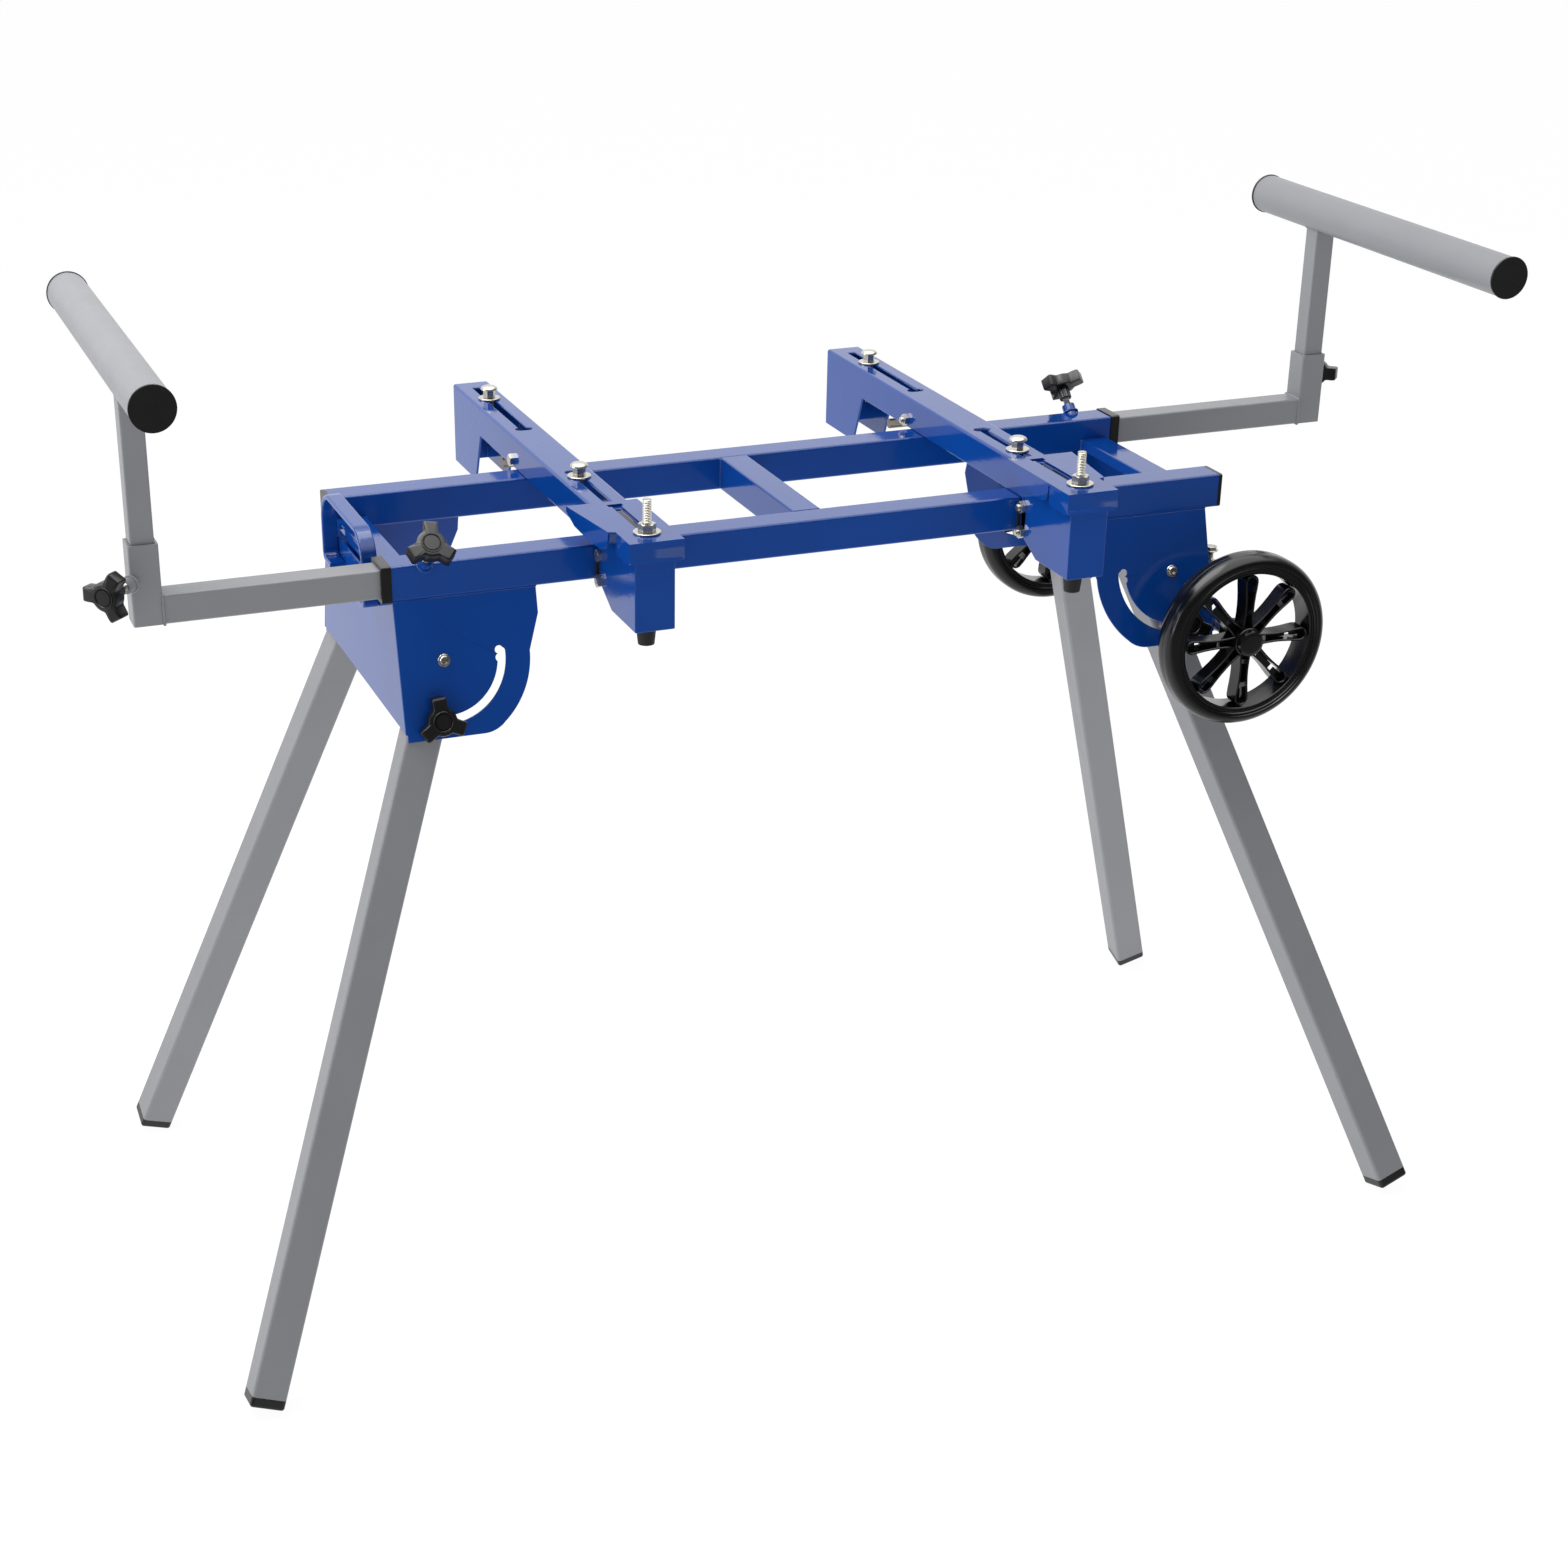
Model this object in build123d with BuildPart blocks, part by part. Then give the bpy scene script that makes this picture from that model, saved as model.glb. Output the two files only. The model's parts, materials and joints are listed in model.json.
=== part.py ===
from build123d import *
import os
from math import cos, radians, sin, sqrt, tan

# A folding stand for a bench saw. Two square rails stand on four splayed legs,
# two brackets lie across the rails, an arm with a round bar draws out at each
# end, and a pair of wheels sits at the right end.
# Millimetres. X runs along the rails, Y to the rear, Z up from the floor.
# All places are counted from the middle of the rails; origin_shift then moves
# the finished pieces so that the whole stand is centred on its own origin.
origin_shift_x = -17.0
origin_shift_y = -25.17

# Rails
rail_top = 900.0
rail_left_x = -495.0
rail_right_x = 501.0
rail_size = 39.0
rail_wall = 2.0
rail_corner = 3.0
rail_outer_y = 151.7
# Plastic at the rail ends: a collar where an arm comes out, a cap elsewhere
collar_size = 41.5
collar_length = 11.5
cap_length = 4.5
cap_plug_length = 14.0
plug_gap = 0.3
# Cross members between the rails
middle_member_x = -3.0
middle_member_width = 34.0
end_member_width = 35.0
end_member_height = 14.0
end_member_left_x = -473.0
end_member_right_x = 479.0
member_wall = 2.0
# Arms, their upright sockets, and the posts and bars that they carry
arm_size = 32.0
arm_wall = 2.0
arm_corner = 2.5
arm_grip_length = 180.0
slide_gap = 0.3
post_left_x = -754.0
post_right_x = 788.0
post_size = 25.4
post_wall = 2.0
post_corner = 2.0
socket_rise = 52.0
post_foot_drop = 30.0
bar_height = 228.0
bar_diameter = 46.0
bar_wall = 2.0
bar_length = 513.0
bar_left_shift = -20.0
bar_right_shift = 2.0
bar_cap_length = 3.0
bar_cap_lip = 1.0
# Clamp screws with three lobed knobs
clamp_inset = 37.0
post_clamp_rise = 12.0
boss_diameter = 16.0
boss_height = 9.0
screw_diameter = 8.0
hole_gap = 0.05
seat_gap = 0.2
knob_lobe_length = 26.5
knob_hub_diameter = 32.0
knob_lobe_width = 16.0
knob_lobe_corner = 4.0
knob_height = 15.0
knob_cap_diameter = 23.0
knob_cap_height = 1.0
knob_neck_diameter = 15.0
knob_edge = 1.2
arm_knob_turn = 80.0
post_knob_turn = 89.0
lock_knob_turn = 95.0
clamp_screw_show = 9.5
clamp_neck_length = 14.0
lock_neck_length = 3.5
# Leg boxes: an upright end plate between two plates that flare outwards
box_left_x = -494.8
box_right_x = 486.0
box_sheet = 2.5
flare_left_angle = 14.0
flare_right_angle = 17.7
plate_depth = 152.5
plate_fold_depth = 144.0
plate_step = 2.0
plate_round = 97.0
plate_round_start_angle = 40.0
plate_round_end_angle = 90.0
plate_blend_inset = 38.0
plate_reach = 110.0
plate_neck_depth = 29.0
pivot_inset = 50.0
pivot_depth = 68.0
slot_radius = 64.75
slot_width = 9.0
slot_start_angle = -10.4
slot_end_angle = 92.0
notch_lobe_diameter = 9.0
notch_lobe_reach = 2.5
notch_lobe_step = 8.5
# Legs: the pair at the right end hangs further in, so both pairs fold at once
leg_size = 40.0
leg_wall = 2.0
leg_corner = 4.0
leg_splay_angle = 19.5
leg_overhang = 22.0
leg_gap_left = 0.6
leg_gap_right = 54.0
foot_length = 12.0
foot_round = 3.5
foot_plug_length = 16.0
# Pivot bolts
pivot_diameter = 8.0
pivot_head_diameter = 14.0
pivot_head_height = 4.5
pivot_socket_across = 5.0
pivot_nut_across = 13.0
pivot_nut_height = 6.5
spacer_diameter = 18.0
# Carrying handle
handle_half_width = 95.0
handle_rise = 20.0
handle_drop = 62.0
handle_strip_width = 18.0
handle_strip_thick = 6.0
handle_bend = 34.0
handle_foot_bend = 9.0
handle_foot_length = 32.0
# Wheels and axle
axle_diameter = 12.0
axle_tube_diameter = 18.0
axle_z = -170.0
axle_tube_inset = 0.9
axle_collar_length = 27.6
wheel_radius = 103.0
tyre_width = 38.0
tyre_depth = 16.0
tyre_shoulder = 9.0
rim_ring = 7.0
rim_width = 33.0
hub_diameter = 34.0
hub_width = 44.0
hub_cap_height = 5.0
hub_floor = 6.0
spoke_count = 8
spoke_rib_width = 5.5
spoke_rib_gap = 5.0
spoke_depth = 20.0
spoke_offset = 4.0
spoke_splay = 4.0
axle_collar_diameter = 17.0
# Lugs on the right leg box, each with an upright bolt
lug_drop = 69.0
lug_thick = 4.0
lug_reach = 18.0
lug_width = 20.0
lug_y = 157.0
lug_bolt_diameter = 8.0
lug_bolt_across = 13.0
lug_bolt_head = 5.5
lug_bolt_flange_diameter = 17.0
lug_bolt_flange_thick = 1.5
lug_bolt_rise = 18.0
lug_bolt_length = 33.0
lug_nut_height = 6.5
# Brackets across the rails
bracket_left_x = -241.5
bracket_right_x = 266.0
bracket_width = 45.0
bracket_sheet = 3.0
bracket_top = 37.0
bracket_clear = 0.3
bracket_front_y = -275.0
bracket_rear_y = 413.0
bracket_end_drop = 61.0
rear_end_lower = 91.0
rear_end_upper = 116.0
front_hook_gap = 3.6
front_hook_drop = 44.0
front_hook_lip = 8.0
front_end_length = 78.0
bracket_corner = 3.0
# Slots in the bracket tops
slot_track = 9.2
rear_slot_front = 181.0
rear_slot_rear = 387.0
front_slot_front = -121.0
front_slot_rear = 4.0
key_width = 20.0
key_length = 12.0
# Bolts through the bracket sides
side_bolt_diameter = 8.0
side_bolt_across = 13.0
side_bolt_head = 5.5
side_bolt_y = -162.0
upper_bolt_z = -9.0
lower_bolt_z = -38.0
lever_pin_y = 160.0
lever_pin_z = 9.0
pad_height = 20.0
pad_overhang = 3.0
# Rubber foot under each bracket's front end
tab_length = 52.0
tab_height = 3.0
bumper_diameter = 23.0
bumper_tip_diameter = 18.0
bumper_height = 23.0
bumper_y = -246.0
bumper_screw_diameter = 6.0
# Cam levers
lever_width = 30.0
lever_blade_thick = 6.0
lever_length = 74.0
lever_droop_angle = 19.0
lever_tip = 12.0
# Sliding covers on the brackets' front ends
cover_sheet = 2.5
cover_width = 61.0
cover_front_y = -281.0
cover_rear_y = -131.0
cover_wing_rear = 51.0
cover_wing_front = 38.0
cover_wing_end_y = -233.0
cover_hood_depth = 45.0
cover_hood_drop = 24.0
cover_hood_corner = 6.0
cover_flange_drop = 24.0
cover_flange_start = 8.0
flange_shares = ((0, 0.25), (0.2, 0.7), (0.55, 0.95), (0.8, 1))
cover_slot_rear = -142.0
cover_slot_front = -256.0
cover_key_width = 17.0
cover_key_length = 8.0
stud_y = -249.0
stud_diameter = 10.0
stud_seat_diameter = 9.4
stud_rise = 77.0
stud_drop = 14.0
stud_nut_across = 17.0
stud_nut_height = 8.5
stud_washer_diameter = 30.0
washer_thick = 2.0
# Saw bolts in the slots
saw_bolt_rear_y = 330.0
saw_bolt_left_y = -22.0
saw_bolt_right_y = -95.0
saw_bolt_diameter = 8.0
saw_bolt_head_diameter = 21.0
saw_bolt_head_height = 5.0
saw_bolt_neck_across = 13.0
saw_bolt_rise = 17.0
saw_bolt_drop = 51.0
saw_nut_height = 6.5
saw_washer_diameter = 27.0
cut_overrun = 1.0

rail_y = rail_outer_y - rail_size / 2
rail_inner_y = rail_outer_y - rail_size
rail_axis_z = rail_top - rail_size / 2
rail_bottom = rail_top - rail_size
rail_bore = rail_size - 2 * rail_wall
arm_bottom = rail_axis_z - arm_size / 2
slide_bore = 2 * slide_gap
ends = {"left": -1, "right": 1}
sides = {"front": -1, "rear": 1}
box_x = {"left": box_left_x, "right": box_right_x}
flares = {"left": flare_left_angle, "right": flare_right_angle}
leg_gaps = {"left": leg_gap_left, "right": leg_gap_right}
post_x = {"left": post_left_x, "right": post_right_x}
rail_end_x = {"left": rail_left_x, "right": rail_right_x}
bracket_x = {"left": bracket_left_x, "right": bracket_right_x}
bar_shift = {"left": bar_left_shift, "right": bar_right_shift}
saw_bolt_y = {"left": saw_bolt_left_y, "right": saw_bolt_right_y}
# The left arm runs in the front rail and the right arm in the rear rail
arm_side = {"left": "front", "right": "rear"}
pieces = {}


def facing_side(x, y, z):
    """A plane that faces +X, with its x axis along Y."""
    return Plane(origin=(x, y, z), x_dir=(0, 1, 0), z_dir=(1, 0, 0))


def facing_front(x, y, z):
    """A plane that faces -Y, with its x axis along X."""
    return Plane(origin=(x, y, z), x_dir=(1, 0, 0), z_dir=(0, -1, 0))


def facing_up(x, y, z):
    """A plane that faces +Z, with its x axis along X."""
    return Plane(origin=(x, y, z), x_dir=(1, 0, 0), z_dir=(0, 0, 1))


def block(x_span, y_span, z_span):
    """A block between two corners."""
    (x0, x1), (y0, y1), (z0, z1) = x_span, y_span, z_span
    with BuildPart() as piece:
        with BuildSketch(facing_up((x0 + x1) / 2, (y0 + y1) / 2, z0)):
            Rectangle(x1 - x0, y1 - y0)
        extrude(amount=z1 - z0)
    return piece


def box_tube(plane, width, height, wall, corner, length):
    """A rectangular tube that leaves the plane."""
    with BuildPart() as tube:
        with BuildSketch(plane):
            RectangleRounded(width, height, corner)
            Rectangle(width - 2 * wall, height - 2 * wall, mode=Mode.SUBTRACT)
        extrude(amount=length)
    return tube


def hex_bolt(plane, diameter, across, head, length):
    """A bolt whose head stands on the plane and whose shank runs down from it."""
    with BuildPart() as bolt:
        with BuildSketch(plane):
            RegularPolygon(across / sqrt(3), 6)
        extrude(amount=head)
        with BuildSketch(plane):
            Circle(diameter / 2)
        extrude(amount=-length)
    return bolt.part


def ring(plane, outer, inner, height, sides_of_ring=0):
    """A washer, sleeve or, with six sides, a nut that stands on the plane."""
    with BuildPart() as piece:
        with BuildSketch(plane):
            if sides_of_ring:
                RegularPolygon(outer / sqrt(3), sides_of_ring)
            else:
                Circle(outer / 2)
            Circle(inner / 2 + hole_gap, mode=Mode.SUBTRACT)
        extrude(amount=height)
    return piece.part


def group(solids):
    """Separate solids that share one node."""
    with BuildPart() as together:
        for solid in solids:
            add(solid)
    return together


def knob_on_screw(plane, stand_off, neck_length, screw_depth, turn):
    """A three lobed knob whose screw runs down through the plane."""
    base = stand_off + neck_length
    with BuildPart() as knob:
        with BuildSketch(plane.offset(base)):
            Circle(knob_hub_diameter / 2)
            with PolarLocations(knob_lobe_length / 2, 3, start_angle=turn):
                RectangleRounded(knob_lobe_length, knob_lobe_width, knob_lobe_corner)
        extrude(amount=knob_height)
        chamfer(knob.faces().sort_by(Axis(plane.origin, plane.z_dir))[-1].edges(), knob_edge)
        with BuildSketch(plane.offset(base + knob_height)):
            Circle(knob_cap_diameter / 2)
        extrude(amount=knob_cap_height)
        with BuildSketch(plane.offset(stand_off)):
            Circle(knob_neck_diameter / 2)
        extrude(amount=neck_length)
        with BuildSketch(plane.offset(-screw_depth)):
            Circle(screw_diameter / 2)
        extrude(amount=screw_depth + stand_off)
    return knob


def clamp_depth(outer_size, inner_size, inner_corner):
    """How far a clamp screw runs from a tube's corner to the tube inside it."""
    return (outer_size - inner_size) / sqrt(2) + inner_corner * (sqrt(2) - 1) - seat_gap


def bossed_tube(plane, size, corner, length, bore, boss_plane):
    """A square tube with a clamp boss welded on its corner, drilled for the screw."""
    with BuildPart() as tube:
        with BuildSketch(plane):
            RectangleRounded(size, size, corner)
        extrude(amount=length)
        with BuildSketch(boss_plane.offset(-boss_diameter / 2)):
            Circle(boss_diameter / 2)
        extrude(amount=boss_diameter / 2 + boss_height)
        with BuildSketch(plane):
            Rectangle(bore, bore)
        extrude(amount=length, mode=Mode.SUBTRACT)
        with BuildSketch(boss_plane.offset(boss_height)):
            Circle(screw_diameter / 2 + hole_gap)
        extrude(amount=-boss_height - size / 2, mode=Mode.SUBTRACT)
    return tube


def arm_clamp_plane(end):
    """The outer top edge of a rail where the arm's clamp stands, facing out along the diagonal."""
    side = sides[arm_side[end]]
    x = rail_end_x[end] - ends[end] * clamp_inset
    return Plane(origin=(x, side * rail_outer_y, rail_top), x_dir=(1, 0, 0), z_dir=(0, side, 1))


def post_clamp_plane(end):
    """The outer corner of a socket where the post's clamp stands, facing out along the diagonal."""
    side = sides[arm_side[end]]
    x = post_x[end] + ends[end] * arm_size / 2
    y = side * (rail_y + arm_size / 2)
    return Plane(origin=(x, y, rail_top + post_clamp_rise), x_dir=(0, 0, 1), z_dir=(ends[end], side, 0))


# Rails, their plastic ends and the cross members
def rail(end):
    """The rail that holds one end's arm, with the boss of the arm's clamp."""
    start = facing_side(rail_left_x, sides[arm_side[end]] * rail_y, rail_axis_z)
    length = rail_right_x - rail_left_x
    return bossed_tube(start, rail_size, rail_corner, length, rail_bore, arm_clamp_plane(end))


def rail_collar(end):
    """A plastic collar at a rail's mouth, with a sleeve that guides the arm."""
    mouth = facing_side(rail_end_x[end], sides[arm_side[end]] * rail_y, rail_axis_z)
    with BuildPart() as collar:
        with BuildSketch(mouth):
            RectangleRounded(collar_size, collar_size, rail_corner)
        extrude(amount=ends[end] * collar_length)
        with BuildSketch(mouth):
            Rectangle(rail_bore - plug_gap, rail_bore - plug_gap)
        extrude(amount=-ends[end] * cap_plug_length)
        with BuildSketch(mouth.offset(ends[end] * collar_length)):
            Rectangle(arm_size + slide_bore, arm_size + slide_bore)
        extrude(amount=-ends[end] * (collar_length + cap_plug_length), mode=Mode.SUBTRACT)
    return collar.part


def rail_cap(end):
    """A plastic cap in a rail's closed end."""
    other = "right" if end == "left" else "left"
    mouth = facing_side(rail_end_x[other], sides[arm_side[end]] * rail_y, rail_axis_z)
    with BuildPart() as cap:
        with BuildSketch(mouth):
            RectangleRounded(rail_size, rail_size, rail_corner)
        extrude(amount=ends[other] * cap_length)
        with BuildSketch(mouth):
            Rectangle(rail_bore - plug_gap, rail_bore - plug_gap)
        extrude(amount=-ends[other] * cap_plug_length)
    return cap.part


def cross_member(x, width, height, top):
    """A tube between the rails' inner faces."""
    start = facing_front(x, rail_inner_y, top - height / 2)
    return box_tube(start, width, height, member_wall, member_wall, 2 * rail_inner_y)


pieces["front_rail"] = rail("left")
pieces["rear_rail"] = rail("right")
pieces["rail_plastics"] = group([make(end) for end in ends for make in (rail_collar, rail_cap)])
pieces["middle_member"] = cross_member(middle_member_x, middle_member_width, rail_size, rail_top)
end_member_top = rail_bottom + end_member_height
pieces["end_members"] = group(
    cross_member(x, end_member_width, end_member_height, end_member_top).part
    for x in (end_member_left_x, end_member_right_x)
)


# Leg boxes
def outboard(end, side):
    """Which way a leg plate's own x axis points: 1 towards the stand's end."""
    return -sides[side] * ends[end]


def plate_plane(end, side):
    """A leg plate's outer face: origin at the fold over the pivot, y axis up the plate."""
    flare = radians(flares[end])
    x = box_x[end] - ends[end] * pivot_inset
    out = sides[side]
    normal = (0, out * cos(flare), sin(flare))
    return Plane(origin=(x, out * rail_outer_y, rail_bottom), x_dir=(-out, 0, 0), z_dir=normal)


def plate_spot(end, side, radius, angle):
    """A place on a leg plate about the pivot, its angle counted inboard from straight down."""
    turn = outboard(end, side)
    return (-turn * radius * sin(radians(angle)), -pivot_depth - radius * cos(radians(angle)))


def leg_plate(end, side):
    """A flared plate with the pivot hole and the curved slot of the leg's lock."""
    turn = outboard(end, side)
    fold = turn * pivot_inset
    step = fold - turn * plate_step
    blend = (-turn * plate_blend_inset, -plate_depth)
    plate_round_middle = (plate_round_start_angle + plate_round_end_angle) / 2
    round_start = plate_spot(end, side, plate_round, plate_round_start_angle)
    round_middle = plate_spot(end, side, plate_round, plate_round_middle)
    round_end = plate_spot(end, side, plate_round, plate_round_end_angle)
    first, last = slot_start_angle, slot_end_angle
    path = CenterArc((0, -pivot_depth), slot_radius, 270 - turn * first, -turn * (last - first))
    with BuildPart() as plate:
        with BuildSketch(plate_plane(end, side)):
            with BuildLine():
                Polyline((-turn * plate_reach, 0), (fold, 0), (fold, -plate_fold_depth),
                         (step, -plate_fold_depth), (step, -plate_depth), blend)
                TangentArc([blend, round_start], tangent=(-turn, 0))
                ThreePointArc(round_start, round_middle, round_end)
                Polyline(round_end, (-turn * plate_reach, -plate_neck_depth), (-turn * plate_reach, 0))
            make_face()
            SlotArc(path, slot_width, mode=Mode.SUBTRACT)
            notch_x, notch_y = plate_spot(end, side, slot_radius - notch_lobe_reach, last)
            notch_top = notch_y + slot_width / 4
            with Locations((notch_x, notch_top), (notch_x, notch_top - notch_lobe_step)):
                Circle(notch_lobe_diameter / 2, mode=Mode.SUBTRACT)
            with Locations((0, -pivot_depth)):
                Circle(pivot_diameter / 2 + hole_gap, mode=Mode.SUBTRACT)
        extrude(amount=-box_sheet)
    return plate


def end_plate_half(end, drop):
    """Half the width of an end plate, at a depth below the rails."""
    flare = radians(flares[end])
    return rail_outer_y - box_sheet / cos(flare) + drop * tan(flare)


def end_plate(end):
    """The upright plate that closes a leg box towards the stand's end."""
    drop = plate_fold_depth * cos(radians(flares[end]))
    half_top, half_foot = end_plate_half(end, 0), end_plate_half(end, drop)
    with BuildPart() as plate:
        with BuildSketch(facing_side(box_x[end], 0, rail_bottom)):
            with BuildLine():
                Polyline((-half_top, 0), (half_top, 0), (half_foot, -drop), (-half_foot, -drop), close=True)
            make_face()
        extrude(amount=-ends[end] * box_sheet)
    return plate


for end in ends:
    pieces[f"{end}_end_plate"] = end_plate(end)
    for side in sides:
        pieces[f"{side}_{end}_leg_plate"] = leg_plate(end, side)


# Legs
def leg_plane(end, side):
    """The leg's centre line at its pivot: the plane faces down the leg."""
    face = plate_plane(end, side)
    splay = radians(leg_splay_angle)
    down = face.x_dir * (outboard(end, side) * sin(splay)) - face.y_dir * cos(splay)
    depth = box_sheet + leg_gaps[end] + leg_size / 2
    start = face.from_local_coords(Vector(0, -pivot_depth, -depth))
    return Plane(origin=start, x_dir=face.z_dir, z_dir=down)


def leg_reach(plane):
    """From the pivot to the foot's end, so that the foot's lowest edge meets the floor."""
    lean_x, lean_y = abs(plane.x_dir.Z), abs(plane.y_dir.Z)
    corner_drop = (leg_size / 2 - leg_corner) * (lean_x + lean_y)
    edge_drop = (leg_corner - foot_round) * sqrt(lean_x**2 + lean_y**2)
    clear_height = plane.origin.Z - corner_drop - edge_drop - foot_round
    return clear_height / abs(plane.z_dir.Z) + foot_round


def lock_spot(end, side):
    """Where the lock's screw passes the leg plate."""
    face = plate_plane(end, side)
    x, y = plate_spot(end, side, slot_radius, slot_start_angle)
    return Plane(origin=face.from_local_coords(Vector(x, y, 0)), x_dir=face.x_dir, z_dir=face.z_dir)


def leg(end, side):
    """A square leg, drilled for its pivot bolt and for the lock's screw."""
    axis = leg_plane(end, side)
    skin = box_sheet + leg_gaps[end]
    start = axis.offset(-leg_overhang)
    length = leg_overhang + leg_reach(axis) - foot_length
    with BuildPart() as tube:
        with BuildSketch(start):
            RectangleRounded(leg_size, leg_size, leg_corner)
            Rectangle(leg_size - 2 * leg_wall, leg_size - 2 * leg_wall, mode=Mode.SUBTRACT)
        extrude(amount=length)
        with BuildSketch(Plane(origin=axis.origin, z_dir=axis.x_dir)):
            Circle(pivot_diameter / 2 + hole_gap)
        extrude(amount=leg_size, both=True, mode=Mode.SUBTRACT)
        with BuildSketch(lock_spot(end, side).offset(-skin + cut_overrun)):
            Circle(screw_diameter / 2 + hole_gap)
        extrude(amount=-leg_wall - 2 * cut_overrun, mode=Mode.SUBTRACT)
    return tube


def foot(end, side):
    """The plastic plug and foot in a leg's lower end."""
    axis = leg_plane(end, side)
    tube_end = axis.offset(leg_reach(axis) - foot_length)
    plug = leg_size - 2 * leg_wall - plug_gap
    with BuildPart() as cap:
        with BuildSketch(tube_end):
            RectangleRounded(leg_size, leg_size, leg_corner)
        extrude(amount=foot_length)
        fillet(cap.faces().sort_by(Axis(axis.origin, axis.z_dir))[-1].edges(), foot_round)
        with BuildSketch(tube_end):
            Rectangle(plug, plug)
        extrude(amount=-foot_plug_length)
    return cap


def lock_knob(end, side):
    """The knob that locks a leg in its slot."""
    depth = box_sheet + leg_gaps[end] + leg_wall + screw_diameter
    return knob_on_screw(lock_spot(end, side), seat_gap, lock_neck_length, depth, lock_knob_turn)


def pivot_bolt(end, side):
    """A leg's pivot bolt with its nut, and the sleeve that holds an inner leg off its plate."""
    face = plate_plane(end, side)
    skin = box_sheet + leg_gaps[end]
    head = Plane(origin=face.from_local_coords(Vector(0, -pivot_depth, 0)), z_dir=face.z_dir)
    length = skin + leg_size + pivot_nut_height + cut_overrun
    with BuildPart() as bolt:
        with BuildSketch(head):
            Circle(pivot_head_diameter / 2)
        extrude(amount=pivot_head_height)
        with BuildSketch(head.offset(pivot_head_height)):
            RegularPolygon(pivot_socket_across / sqrt(3), 6)
        extrude(amount=-pivot_head_height / 2, mode=Mode.SUBTRACT)
        with BuildSketch(head):
            Circle(pivot_diameter / 2)
        extrude(amount=-length)
    nut = head.offset(-length + cut_overrun - seat_gap)
    solids = [bolt.part, ring(nut, pivot_nut_across, pivot_diameter, pivot_nut_height, 6)]
    if leg_gaps[end] > washer_thick:
        sleeve = head.offset(-skin + seat_gap)
        solids.append(ring(sleeve, spacer_diameter, pivot_diameter, leg_gaps[end] - 2 * seat_gap))
    return solids


for end in ends:
    for side in sides:
        pieces[f"{side}_{end}_leg"] = leg(end, side)
        pieces[f"{side}_{end}_foot"] = foot(end, side)
        pieces[f"{side}_{end}_knob"] = lock_knob(end, side)


# Arms, posts and bars
def arm(end):
    """The tube that draws out of the rail."""
    outer = post_x[end] - ends[end] * arm_size / 2
    inner = rail_end_x[end] - ends[end] * arm_grip_length
    start = facing_side(min(outer, inner), sides[arm_side[end]] * rail_y, rail_axis_z)
    return box_tube(start, arm_size, arm_size, arm_wall, arm_corner, abs(outer - inner))


def socket(end):
    """The upright socket at the arm's end, with the boss of the post's clamp."""
    start = facing_up(post_x[end], sides[arm_side[end]] * rail_y, arm_bottom)
    length = rail_top + socket_rise - arm_bottom
    return bossed_tube(start, arm_size, arm_corner, length, post_size + slide_bore, post_clamp_plane(end))


def post(end):
    """The post in the socket, its top coped to the bar."""
    foot_z = rail_top - post_foot_drop
    start = facing_up(post_x[end], sides[arm_side[end]] * rail_y, foot_z)
    with BuildPart() as tube:
        with BuildSketch(start):
            RectangleRounded(post_size, post_size, post_corner)
            Rectangle(post_size - 2 * post_wall, post_size - 2 * post_wall, mode=Mode.SUBTRACT)
        extrude(amount=bar_height + post_foot_drop)
        with BuildSketch(facing_front(post_x[end], 0, rail_top + bar_height)):
            Circle(bar_diameter / 2)
        extrude(amount=bar_length, both=True, mode=Mode.SUBTRACT)
    return tube


def bar(end):
    """The round bar that carries long stock."""
    start = facing_front(post_x[end], bar_shift[end], rail_top + bar_height)
    with BuildPart() as tube:
        with BuildSketch(start):
            Circle(bar_diameter / 2)
            Circle(bar_diameter / 2 - bar_wall, mode=Mode.SUBTRACT)
        extrude(amount=bar_length / 2, both=True)
    return tube


def bar_cap(end, side):
    """A plastic cap at one end of a bar."""
    out = sides[side]
    mouth = facing_front(post_x[end], bar_shift[end] + out * bar_length / 2, rail_top + bar_height)
    with BuildPart() as cap:
        with BuildSketch(mouth):
            Circle(bar_diameter / 2 + bar_cap_lip)
        extrude(amount=-out * bar_cap_length)
        with BuildSketch(mouth):
            Circle(bar_diameter / 2 - bar_wall - plug_gap)
        extrude(amount=out * cap_plug_length)
    return cap.part


for end in ends:
    pieces[f"{end}_arm"] = arm(end)
    pieces[f"{end}_socket"] = socket(end)
    pieces[f"{end}_post"] = post(end)
    pieces[f"{end}_bar"] = bar(end)
    pieces[f"{end}_bar_caps"] = group(bar_cap(end, side) for side in sides)
    for name, plane, outer, inner, corner, turn in (
        ("arm", arm_clamp_plane(end), rail_size, arm_size, arm_corner, arm_knob_turn),
        ("post", post_clamp_plane(end), arm_size, post_size, post_corner, post_knob_turn),
    ):
        screw = clamp_depth(outer, inner, corner)
        knob = knob_on_screw(plane, boss_height + clamp_screw_show, clamp_neck_length, screw, turn)
        pieces[f"{end}_{name}_knob"] = knob


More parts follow.
